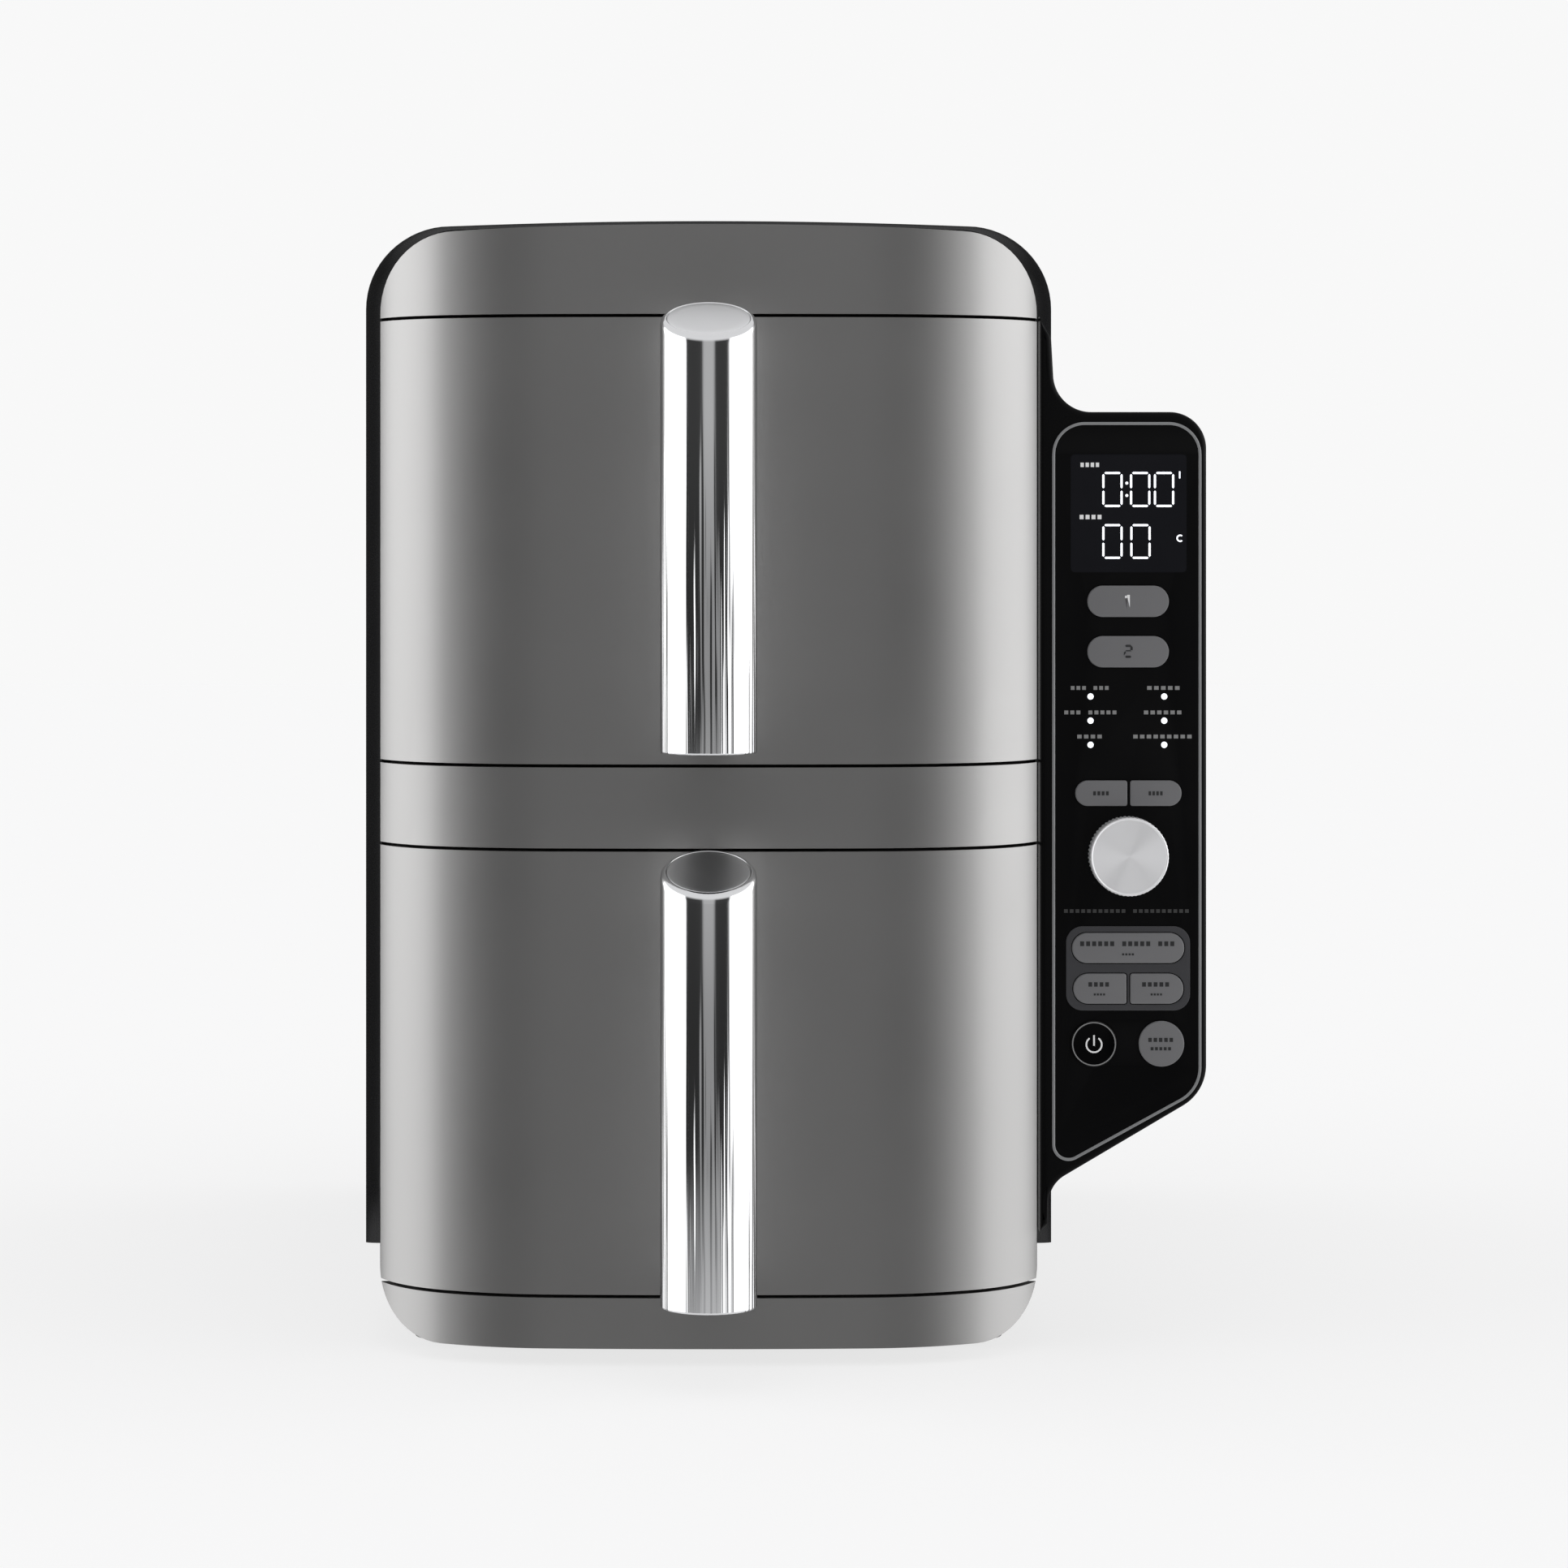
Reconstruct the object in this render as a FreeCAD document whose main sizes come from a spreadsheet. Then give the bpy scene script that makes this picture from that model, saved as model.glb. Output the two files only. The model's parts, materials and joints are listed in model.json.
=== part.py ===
import FreeCAD, Part
import math
import os
import re

import Sketcher
from FreeCAD import Placement, Rotation, Vector

os.makedirs("parts", exist_ok=True)
doc = FreeCAD.newDocument("air_fryer")

# Driving dimensions in millimetres and degrees. Before placement, x is measured from the body's
# centre line, y back from the foremost line of the front, and z up from the table.
SIZES = {
    "rear_end": 415,
    "shell_half": 119.5,
    "shell_top": 386,
    "shell_low": 31,
    "shell_front": 34.4,
    "shell_rear": 405,
    "shell_wall": 2.5,
    "shell_corner": 31,
    "shell_edge": 7.9,
    "shell_mouth": 109,
    "front_radius": 1140,
    "front_turn": 2.7,
    "shoulder_radius": 92,
    "shoulder_turn": 25.8,
    "side_radius": 47,
    "side_turn": 65,
    "fascia_back": 34,
    "fascia_half": 111.5,
    "fascia_wall": 1.6,
    "fascia_top": 381.7,
    "fascia_low": 6,
    "fascia_crown": 1.8,
    "fascia_corner": 27,
    "fascia_foot_corner": 22,
    "seam_gap": 0.8,
    "seam_brow": 351.2,
    "seam_upper": 200.7,
    "seam_lower": 172.6,
    "seam_foot": 23.5,
    "carrier_wall": 3,
    "handle_radius": 15.75,
    "handle_wall": 1.5,
    "handle_reach": 55,
    "handle_length": 148,
    "handle_slant": 22.4,
    "handle_low_upper": 207.1,
    "handle_low_lower": 27.2,
    "arm_width": 16,
    "arm_height": 22,
    "screw_radius": 2,
    "frame_front": 36.2,
    "frame_rear": 46,
    "frame_half": 108.5,
    "chamber_half": 101,
    "chamber_height": 142,
    "chamber_lift": 5,
    "chamber_front": 46.2,
    "chamber_rear": 362,
    "sheet": 1.2,
    "basket_half": 92,
    "basket_rear": 325,
    "basket_lift": 10,
    "basket_height": 112,
    "basket_wall": 1.8,
    "basket_corner": 20,
    "basket_rim": 4,
    "plate_lift": 13,
    "plate_gauge": 1.6,
    "heater_y": 335,
    "heater_reach": 62,
    "fan_radius": 56,
    "fan_front": 343,
    "fan_depth": 14,
    "fan_tilt": 24,
    "fan_lift": 76,
    "shaft_radius": 3,
    "motor_radius": 29,
    "motor_front": 364,
    "motor_length": 26,
    "wing_front": 24,
    "wing_rear": 80,
    "wing_wall": 2.5,
    "wing_right": 169.1,
    "wing_low": 88.5,
    "wing_top": 319.6,
    "wing_root": 116,
    "wing_root_low": 57.1,
    "panel_left": 116.6,
    "panel_right": 167.2,
    "panel_low": 61.6,
    "panel_bend": 89.4,
    "panel_top": 316.1,
    "lens_front": 24,
    "lens_depth": 2.4,
    "ring_width": 1.3,
    "key_gap": 0.35,
    "key_proud": 1.2,
    "key_depth": 8,
    "dial_x": 142,
    "dial_z": 169.2,
    "dial_radius": 13.4,
    "dial_depth": 9,
    "board_front": 36,
    "foot_radius": 10,
    "foot_height": 8,
    "foot_x": 92,
    "base_half": 104,
}

sheet = doc.addObject("Spreadsheet::Sheet", "dims")
for row, (alias, size) in enumerate(SIZES.items(), start=1):
    sheet.set(f"A{row}", alias)
    sheet.set(f"B{row}", str(size))
    sheet.setAlias(f"B{row}", alias)
doc.recompute()

# The origin is under the middle of the whole machine, control wing and handles included.
CENTRE_X = "-(wing_right - shell_half) / 2"
CENTRE_Y = "-(rear_end - handle_reach) / 2"
LEVELS = {"upper": "seam_upper", "lower": "seam_foot"}
DRAWER_TOPS = {"upper": "seam_brow", "lower": "seam_lower"}
parts = []


def full(expression):
    """The expression with the sheet's name in front of each alias."""
    return re.sub(r"[A-Za-z_]\w*", lambda word: ("dims." if word[0] in SIZES else "") + word[0],
                  str(expression))


def value(expression):
    return float(sheet.evalExpression(full(expression)))


def bind(thing, name, expression):
    thing.setExpression(name, full(expression))


def place(thing, x="0", y="0", z="0"):
    """Move a finished piece from the body's own measures to the machine's origin."""
    bind(thing, "Placement.Base.x", f"{CENTRE_X} + ({x})")
    bind(thing, "Placement.Base.y", f"{CENTRE_Y} + ({y})")
    bind(thing, "Placement.Base.z", z)
    parts.append(thing)


def new_body(label, x="0", y="0", z="0"):
    body = doc.addObject("PartDesign::Body", label)
    body.Label = label
    body.AllowCompound = True
    place(body, x, y, z)
    return body


def draw_circle(sketch, x, y, radius):
    centre = Vector(value(x), value(y), 0)
    ring = sketch.addGeometry(Part.Circle(centre, Vector(0, 0, 1), value(radius)), False)
    sized = []
    loose = []
    for kind, size, axis in (("DistanceX", x, -2), ("DistanceY", y, -1)):
        if abs(value(size)) < 1e-9:
            loose.append(Sketcher.Constraint("PointOnObject", ring, 3, axis))
        else:
            sized.append((Sketcher.Constraint(kind, -1, 1, ring, 3, value(size)), size))
    sized.append((Sketcher.Constraint("Radius", ring, value(radius)), radius))
    constrain(sketch, loose, sized)


def constrain(sketch, loose, sized):
    """Add all of an outline's constraints in one go, the sized ones bound to the sheet."""
    first = sketch.ConstraintCount
    sketch.addConstraint([constraint for constraint, _ in sized] + loose)
    for step, (_, size) in enumerate(sized):
        bind(sketch, f"Constraints[{first + step}]", size)


def draw_corners(sketch, corners):
    """A closed outline through corner points, anticlockwise, each corner with its own round."""
    points = [Vector(value(x), value(y), 0) for x, y, _ in corners]
    rounds = [value(radius) for _, _, radius in corners]
    count = len(points)
    starts, ends, arcs = [], [], {}
    for i, point in enumerate(points):
        back = (points[i - 1] - point).normalize()
        ahead = (points[(i + 1) % count] - point).normalize()
        half = back.getAngle(ahead) / 2
        trim = rounds[i] / math.tan(half)
        ends.append(point + back * trim)
        starts.append(point + ahead * trim)
        if rounds[i]:
            centre = point + (back + ahead).normalize() * (rounds[i] / math.sin(half))
            convex = back.cross(ahead).z < 0
            first, last = (ends[i], starts[i]) if convex else (starts[i], ends[i])
            begin = math.atan2(first.y - centre.y, first.x - centre.x)
            finish = math.atan2(last.y - centre.y, last.x - centre.x)
            finish += 2 * math.pi if finish < begin else 0
            circle = Part.Circle(centre, Vector(0, 0, 1), rounds[i])
            arcs[i] = (Part.ArcOfCircle(circle, begin, finish), convex)
    lines = [Part.LineSegment(starts[i], ends[(i + 1) % count]) for i in range(count)]
    sides = sketch.addGeometry(lines, False)
    dots = sketch.addGeometry([Part.Point(point) for point in points], True)
    bends = dict(zip(arcs, sketch.addGeometry([arc for arc, _ in arcs.values()], False) if arcs else []))
    sized, loose = [], []
    for i, (x, y, radius) in enumerate(corners):
        before, after, dot = sides[i - 1], sides[i], dots[i]
        sized.append((Sketcher.Constraint("DistanceX", -1, 1, dot, 1, value(x)), x))
        sized.append((Sketcher.Constraint("DistanceY", -1, 1, dot, 1, value(y)), y))
        if i not in bends:
            loose.append(Sketcher.Constraint("Coincident", before, 2, after, 1))
            loose.append(Sketcher.Constraint("Coincident", before, 2, dot, 1))
            continue
        near, far = (1, 2) if arcs[i][1] else (2, 1)
        loose.append(Sketcher.Constraint("Tangent", before, 2, bends[i], near))
        loose.append(Sketcher.Constraint("Tangent", bends[i], far, after, 1))
        loose.append(Sketcher.Constraint("PointOnObject", dot, 1, before))
        loose.append(Sketcher.Constraint("PointOnObject", dot, 1, after))
        sized.append((Sketcher.Constraint("Radius", bends[i], value(radius)), radius))
    constrain(sketch, loose, sized)


def box_outline(x1, x2, y1, y2, radius="0"):
    return [(x1, y1, radius), (x2, y1, radius), (x2, y2, radius), (x1, y2, radius)]


def feature(kind, body, role, start, length, *outlines):
    """Pad or pocket running up the positive axis from start, over outlines given as corner
    lists or (x, y, radius) circles."""
    sketch = body.newObject("Sketcher::SketchObject", f"{body.Name}_sketch")
    plane = next(plane for plane in body.Origin.OriginFeatures if plane.Role == role)
    sketch.AttachmentSupport = [(plane, "")]
    sketch.MapMode = "FlatFace"
    bind(sketch, "AttachmentOffset.Base.z", f"-({start})" if role == "XZ_Plane" else start)
    for outline in outlines:
        if isinstance(outline, tuple):
            draw_circle(sketch, *outline)
        else:
            draw_corners(sketch, outline)
    doc.recompute()
    before = body.Shape.Volume if kind == "Pocket" else 0
    made = body.newObject(f"PartDesign::{kind}", f"{body.Name}_{kind.lower()}")
    made.Profile = sketch
    bind(made, "Length", length)
    made.Reversed = (kind == "Pad") == (role == "XZ_Plane")
    doc.recompute()
    if kind == "Pocket" and body.Shape.Volume > before - 1e-3:
        raise ValueError(f"a pocket of {body.Label} cuts nothing")
    return made


def pad(body, role, start, length, *outlines):
    return feature("Pad", body, role, start, length, *outlines)


def pocket(body, role, start, length, *outlines):
    return feature("Pocket", body, role, start, length, *outlines)


def repeat(body, made, axis, step, count):
    """Repeat a pad or pocket in a straight row, step apart, along one of the body's axes."""
    row = body.newObject("PartDesign::LinearPattern", f"{body.Name}_row")
    row.Originals = [made]
    row.Direction = (next(line for line in body.Origin.OriginFeatures if line.Role == axis), [""])
    row.Occurrences = count
    bind(row, "Length", f"{step} * {count - 1}")
    body.Tip = row
    doc.recompute()


def fillet(body, radius, test):
    """Round the edges of the body whose middle point and ends pass the test."""
    rough = body.Tip
    names = []
    for number, edge in enumerate(rough.Shape.Edges, start=1):
        middle = edge.valueAt((edge.FirstParameter + edge.LastParameter) / 2)
        if test(middle, edge):
            names.append(f"Edge{number}")
    made = body.newObject("PartDesign::Fillet", f"{body.Name}_fillet")
    made.Base = (rough, names)
    bind(made, "Radius", radius)
    doc.recompute()


def cylinder(name, radius, height, x, y, z, axis="z"):
    thing = doc.addObject("Part::Cylinder", name)
    turn = {"x": Rotation(Vector(0, 1, 0), 90), "y": Rotation(Vector(1, 0, 0), -90), "z": Rotation()}
    thing.Placement = Placement(Vector(), turn[axis])
    bind(thing, "Radius", radius)
    bind(thing, "Height", height)
    bind(thing, "Placement.Base.x", x)
    bind(thing, "Placement.Base.y", y)
    bind(thing, "Placement.Base.z", z)
    return thing


def block(name, x, y, z, length, width, height):
    thing = doc.addObject("Part::Box", name)
    for prop, size in (("Length", length), ("Width", width), ("Height", height)):
        bind(thing, prop, size)
    bind(thing, "Placement.Base.x", x)
    bind(thing, "Placement.Base.y", y)
    bind(thing, "Placement.Base.z", z)
    return thing


def fuse(name, shapes):
    thing = doc.addObject("Part::MultiFuse", name)
    thing.Shapes = shapes
    thing.Label = name
    return thing


def cut(name, base, tool):
    thing = doc.addObject("Part::Cut", name)
    thing.Base = base
    thing.Tool = tool
    thing.Label = name
    return thing


def common(name, base, tool):
    thing = doc.addObject("Part::Common", name)
    thing.Base = base
    thing.Tool = tool
    thing.Label = name
    return thing


def front_region(inset, low, high):
    """Solid between the bowed front, moved in by inset, and the fascia's back plane. Each side
    of the bow is three arcs that run on from each other: the flat middle, the shoulder and the
    turn into the side wall."""
    centre = Vector(0, value("front_radius"), 0)
    radius, turned = value("front_radius"), 0.0
    edges, points = [], []
    for stretch in ("front", "shoulder", "side"):
        new_radius, turn = value(f"{stretch}_radius"), math.radians(value(f"{stretch}_turn"))
        centre = centre + Vector(math.sin(turned), -math.cos(turned), 0) * (radius - new_radius)
        radius = new_radius
        at = [centre + Vector(math.sin(angle), -math.cos(angle), 0) * (radius - inset)
              for angle in (turned, (turned + turn) / 2, turn)]
        points.append(at)
        turned = turn
    for a, b, c in points:
        edges.append(Part.Arc(a, b, c).toShape())
        mirrored = [Vector(-p.x, p.y, 0) for p in (c, b, a)]
        edges.append(Part.Arc(*mirrored).toShape())
    right = points[-1][-1]
    deep = value("fascia_back") + 20
    rim = [right, Vector(right.x, deep, 0), Vector(-right.x, deep, 0), Vector(-right.x, right.y, 0)]
    edges += [Part.makeLine(a, b) for a, b in zip(rim, rim[1:])]
    face = Part.Face(Part.Wire(Part.__sortEdges__(edges)))
    solid = face.extrude(Vector(0, 0, high - low))
    solid.translate(Vector(0, 0, low))
    keep = Part.makeBox(400, 100 + value("fascia_back"), high - low, Vector(-200, -100, low))
    return solid.common(keep)


def front_outline(inset):
    """The front seen square on: round corners and a slightly crowned top edge."""
    half = value("fascia_half") - inset
    top = value("fascia_top") - inset
    low = value("fascia_low") + inset
    brow = value("fascia_corner") - inset
    foot = value("fascia_foot_corner") - inset
    shoulder = top - value("fascia_crown")
    bend = math.sqrt(0.5)
    edges = []
    for side in (-1, 1):
        edges.append(Part.Arc(Vector(side * half, 0, shoulder - brow),
                              Vector(side * (half - brow + brow * bend), 0, shoulder - brow + brow * bend),
                              Vector(side * (half - brow), 0, shoulder)).toShape())
        edges.append(Part.Arc(Vector(side * half, 0, low + foot),
                              Vector(side * (half - foot + foot * bend), 0, low + foot - foot * bend),
                              Vector(side * (half - foot), 0, low)).toShape())
        edges.append(Part.makeLine(Vector(side * half, 0, low + foot),
                                   Vector(side * half, 0, shoulder - brow)))
    edges.append(Part.makeLine(Vector(foot - half, 0, low), Vector(half - foot, 0, low)))
    edges.append(Part.Arc(Vector(brow - half, 0, shoulder), Vector(0, 0, top),
                          Vector(half - brow, 0, shoulder)).toShape())
    face = Part.Face(Part.Wire(Part.__sortEdges__(edges)))
    solid = face.extrude(Vector(0, 200, 0))
    solid.translate(Vector(0, -100, 0))
    return solid


def front_pan(label, low, high, inset, wall, holes=()):
    """A pan that follows the bowed front, open at the back, with round holes along y."""
    low, high = value(low), value(high)
    outer = front_region(inset, low, high).common(front_outline(inset))
    deep = inset + wall
    inner = front_region(deep, low + wall, high - wall).common(front_outline(deep))
    inner.translate(Vector(0, 0.01, 0))
    shape = outer.cut(inner)
    for x, z, radius in holes:
        shape = shape.cut(Part.makeCylinder(radius, 80, Vector(x, -30, z), Vector(0, 1, 0)))
    thing = doc.addObject("Part::Feature", label)
    thing.Label = label
    thing.Shape = shape
    place(thing)
    return thing


def casing_fascias():
    gap = "seam_gap / 2"
    front_pan("fascia_top", f"seam_brow + {gap}", "fascia_top", 0, value("fascia_wall"))
    front_pan("fascia_middle", f"seam_lower + {gap}", f"seam_upper - {gap}", 0, value("fascia_wall"))
    front_pan("fascia_bottom", "fascia_low", f"seam_foot - {gap}", 0, value("fascia_wall"))


def arch(half, low, top, radius):
    return [(f"-({half})", low, "0"), (half, low, "0"), (half, top, radius), (f"-({half})", top, radius)]


def outer_shell():
    body = new_body("outer_shell")
    inner = "shell_half - shell_wall"
    pad(body, "XZ_Plane", "shell_front", "shell_rear - shell_front",
        arch("shell_half", "shell_low", "shell_top", "shell_corner"))
    front = value("shell_front")
    low = value("shell_low")
    fillet(body, "shell_edge", lambda middle, edge: abs(middle.y - front) < 0.01 and middle.z > low + 0.1)
    pocket(body, "XZ_Plane", "frame_rear", "shell_rear - frame_rear",
           arch(inner, "shell_low - 5", "shell_top - shell_wall", "shell_corner - shell_wall"))
    pocket(body, "XZ_Plane", "shell_front", "frame_rear - shell_front",
           arch("shell_mouth", "shell_low - 5", "fascia_top - 3", "fascia_corner - 1"))


CASING_SCREWS = [(f"{x}", f"{z}") for x in (-104, 104) for z in (66, 210, 352)]


def rear_cover():
    body = new_body("rear_cover")
    start = "shell_rear + 0.2"
    pad(body, "XZ_Plane", start, f"rear_end - ({start})",
        arch("shell_half", "shell_low", "shell_top", "shell_corner"))
    rear = value("rear_end")
    fillet(body, "6", lambda middle, edge: abs(middle.y - rear) < 0.01)
    pocket(body, "XZ_Plane", start, "rear_end - shell_rear - 3",
           arch("shell_half - 4", "shell_low + 3", "shell_top - 4", "shell_corner - 4"))
    for base in (250, 74):
        slot = pocket(body, "XZ_Plane", "rear_end - 6", "10",
                      box_outline("-60", "60", f"{base}", f"{base + 4}", "1.9"))
        repeat(body, slot, "Z_Axis", "9", 8)
    pocket(body, "XZ_Plane", "rear_end - 6", "10", ("-80", "52", "6"))
    pocket(body, "XZ_Plane", "rear_end - 1.8", "3", *[(x, z, "3.6") for x, z in CASING_SCREWS])


def base_plate():
    body = new_body("base_plate")
    pad(body, "XY_Plane", "foot_height", "30", box_outline("-base_half", "base_half", "36", "404", "14"))
    fillet(body, "6", lambda middle, edge: abs(middle.z - value("foot_height")) < 0.01)
    pad(body, "XY_Plane", "38", "10", box_outline("-116", "116", "47", "404", "14"))
    pocket(body, "XY_Plane", "foot_height + 2.5", "29.5",
           box_outline("2.5 - base_half", "base_half - 2.5", "38.5", "401.5", "12"))
    pocket(body, "XY_Plane", "40", "8", box_outline("-113.5", "113.5", "49.5", "401.5", "12"))
    # The lower basket slides out over the pan's front wall.
    pocket(body, "XY_Plane", "seam_foot + 2", "24", box_outline("-101.5", "101.5", "34", "49.6"))


def front_frame():
    body = new_body("front_frame")
    pad(body, "XZ_Plane", "frame_front", "frame_rear - frame_front",
        box_outline("-frame_half", "frame_half", "49", "fascia_top - 4", "24"))
    for base in LEVELS.values():
        low = f"{base} + chamber_lift"
        pocket(body, "XZ_Plane", "frame_front", "frame_rear - frame_front",
               box_outline("-chamber_half", "chamber_half", low, f"{low} + chamber_height", "8"))


def chambers():
    for level, base in LEVELS.items():
        body = new_body(f"{level}_chamber")
        low = f"{base} + chamber_lift"
        pad(body, "XZ_Plane", "chamber_front", "chamber_rear - chamber_front",
            box_outline("-chamber_half", "chamber_half", low, f"{low} + chamber_height", "8"))
        pocket(body, "XZ_Plane", "chamber_front", "chamber_rear - chamber_front - sheet",
               box_outline("sheet - chamber_half", "chamber_half - sheet", f"{low} + sheet",
                           f"{low} + chamber_height - sheet", "8 - sheet"))
        centre = f"{base} + fan_lift"
        holes = [("0", centre, "8")] + [(x, f"{centre} + 6", "4") for x in ("-heater_reach", "heater_reach")]
        pocket(body, "XZ_Plane", "chamber_rear - 4", "6", *holes)


def fans():
    for level, base in LEVELS.items():
        centre = f"{base} + fan_lift"
        fan = new_body(f"{level}_fan", y="fan_front", z=centre)
        pad(fan, "XZ_Plane", "0", "fan_depth", ("0", "0", "10"))
        pad(fan, "XZ_Plane", "fan_depth - 1.2", "1.2", ("0", "0", "fan_radius - 8"))
        for number in range(10):
            turn = math.radians(36 * number)
            lean = math.radians(value("fan_tilt"))
            run = Vector(math.cos(turn + lean), math.sin(turn + lean), 0)
            side = Vector(-run.y, run.x, 0) * 0.6
            near = Vector(math.cos(turn), math.sin(turn), 0) * 9
            far = near + run * (value("fan_radius") - 12)
            ring = [near - side, far - side, far + side, near + side]
            pad(fan, "XZ_Plane", "0", "fan_depth", [(f"{p.x:.4f}", f"{p.y:.4f}", "0") for p in ring])
        pocket(fan, "XZ_Plane", "0", "fan_depth", ("0", "0", "shaft_radius"))
        shaft = new_body(f"{level}_fan_shaft", y="fan_front", z=centre)
        pad(shaft, "XZ_Plane", "-3", "motor_front + motor_length - fan_front",
            ("0", "0", "shaft_radius"))
        motor = new_body(f"{level}_motor", y="motor_front", z=centre)
        pad(motor, "XZ_Plane", "0", "2", box_outline("-38", "38", "-32", "32", "6"))
        pad(motor, "XZ_Plane", "2", "motor_length - 2", ("0", "0", "motor_radius"))
        pocket(motor, "XZ_Plane", "-1", "motor_length + 2", ("0", "0", "shaft_radius + 0.06"))


def heaters():
    for level, base in LEVELS.items():
        rings = []
        for number, radius in enumerate(("heater_reach", "48", "34")):
            ring = doc.addObject("Part::Torus", f"{level}_ring_{number}")
            ring.Placement = Placement(Vector(), Rotation(Vector(1, 0, 0), 90))
            bind(ring, "Radius1", radius)
            bind(ring, "Radius2", "3")
            bind(ring, "Placement.Base.y", "heater_y")
            bind(ring, "Placement.Base.z", f"{base} + fan_lift")
            rings.append(ring)
        centre = f"{base} + fan_lift"
        bars = [cylinder(f"{level}_link_{side}", "2.4", "28", f"{side} * heater_reach - 14 * (1 + {side})",
                         "heater_y", centre, "x") for side in (-1, 1)]
        rods = [cylinder(f"{level}_terminal_{side}", "3", "40", f"{side} * heater_reach", "heater_y",
                         f"{centre} + 6", "y") for side in (-1, 1)]
        heater = fuse(f"{level}_heater", rings + bars + rods)
        place(heater)


def drawers():
    gap = "seam_gap / 2"
    for level, base in LEVELS.items():
        low, top = f"{base} + {gap}", f"{DRAWER_TOPS[level]} - {gap}"
        grip = f"handle_low_{level}"
        spots = [f"{grip} + 13", f"{grip} + handle_length - 31"]
        holes = [(0, value(z), value("screw_radius") + 0.2) for z in spots]
        wall = value("fascia_wall")
        front_pan(f"{level}_drawer_front", low, top, 0, wall, holes)
        front_pan(f"{level}_carrier", f"{low} + 2.2", f"{top} - 2.2", wall + 0.3, value("carrier_wall"),
                  holes)
        basket(level, base)
        crisper_plate(level, base)
        handle(level, grip, spots)


def basket(level, base):
    body = new_body(f"{level}_basket")
    low = f"{base} + basket_lift"
    rim = f"{low} + basket_height"
    front = "fascia_back + 2"
    half = "basket_half"
    edge = "basket_half + basket_rim"
    pad(body, "XY_Plane", low, "basket_height",
        box_outline(f"-{half}", half, front, "basket_rear", "basket_corner"))
    bottom = value(low)
    fillet(body, "6", lambda middle, edge: abs(middle.z - bottom) < 0.01)
    pad(body, "XY_Plane", f"{rim} - 1.6", "1.6",
        box_outline(f"-({edge})", edge, front, "basket_rear + basket_rim", "basket_corner + basket_rim"))
    pad(body, "XZ_Plane", "fascia_back + 0.1", "2",
        box_outline("-99", "99", f"{base} + chamber_lift + 1", f"{base} + chamber_lift + 139", "6"))
    inner = f"{half} - basket_wall"
    pocket(body, "XY_Plane", f"{low} + basket_wall", "basket_height",
           box_outline(f"-({inner})", inner, f"{front} + basket_wall", "basket_rear - basket_wall",
                       "basket_corner - basket_wall"))
    pocket(body, "XZ_Plane", "basket_rear - 6", "14",
           box_outline("-64", "64", f"{rim} - 34", f"{rim} + 9", "5"))


def crisper_plate(level, base):
    low = f"{base} + basket_lift + plate_lift"
    plate = new_body(f"{level}_crisper_plate")
    pad(plate, "XY_Plane", low, "plate_gauge", box_outline("-87", "87", "43", "318", "16"))
    for column in range(5):
        x = -68 + 34 * column
        slot = pocket(plate, "XY_Plane", f"{low} - 2", "6",
                      box_outline(f"{x - 12}", f"{x + 12}", "56", "60", "1.9"))
        repeat(plate, slot, "Y_Axis", "27.5", 9)
    corners = [(x, y) for x in (-81.5, 81.5) for y in (90, 270)]
    for x, y in corners:
        pocket(plate, "XY_Plane", f"{low} - 2", "6",
               box_outline(f"{x - 4}", f"{x + 4}", f"{y - 6}", f"{y + 6}"))
    bumpers = new_body(f"{level}_plate_bumpers")
    start = f"{base} + basket_lift + basket_wall + 0.3"
    pad(bumpers, "XY_Plane", start, "plate_lift - basket_wall + 2",
        *[box_outline(f"{x - 3.9}", f"{x + 3.9}", f"{y - 5.9}", f"{y + 5.9}", "2") for x, y in corners])


def slant_block(name, grip, drop):
    """A tall block whose under side is the sloping plane of the handle's top, lowered by drop."""
    thing = doc.addObject("Part::Box", name)
    thing.Placement = Placement(Vector(), Rotation(Vector(1, 0, 0), 1))
    bind(thing, "Placement.Rotation.Angle", "handle_slant")
    for prop, size in (("Length", 60), ("Width", 90), ("Height", 60)):
        bind(thing, prop, str(size))
    # The block turns about its own corner, which lies 50 mm up the slope behind the handle's axis.
    bind(thing, "Placement.Base.x", "-30")
    run = "50 * cos(handle_slant * 1deg)"
    rise = "50 * sin(handle_slant * 1deg)"
    middle = f"{grip} + handle_length - handle_radius * tan(handle_slant * 1deg)"
    bind(thing, "Placement.Base.y", f"handle_radius - handle_reach - {run}")
    bind(thing, "Placement.Base.z", f"{middle} - {rise} - {drop}")
    return thing


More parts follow.
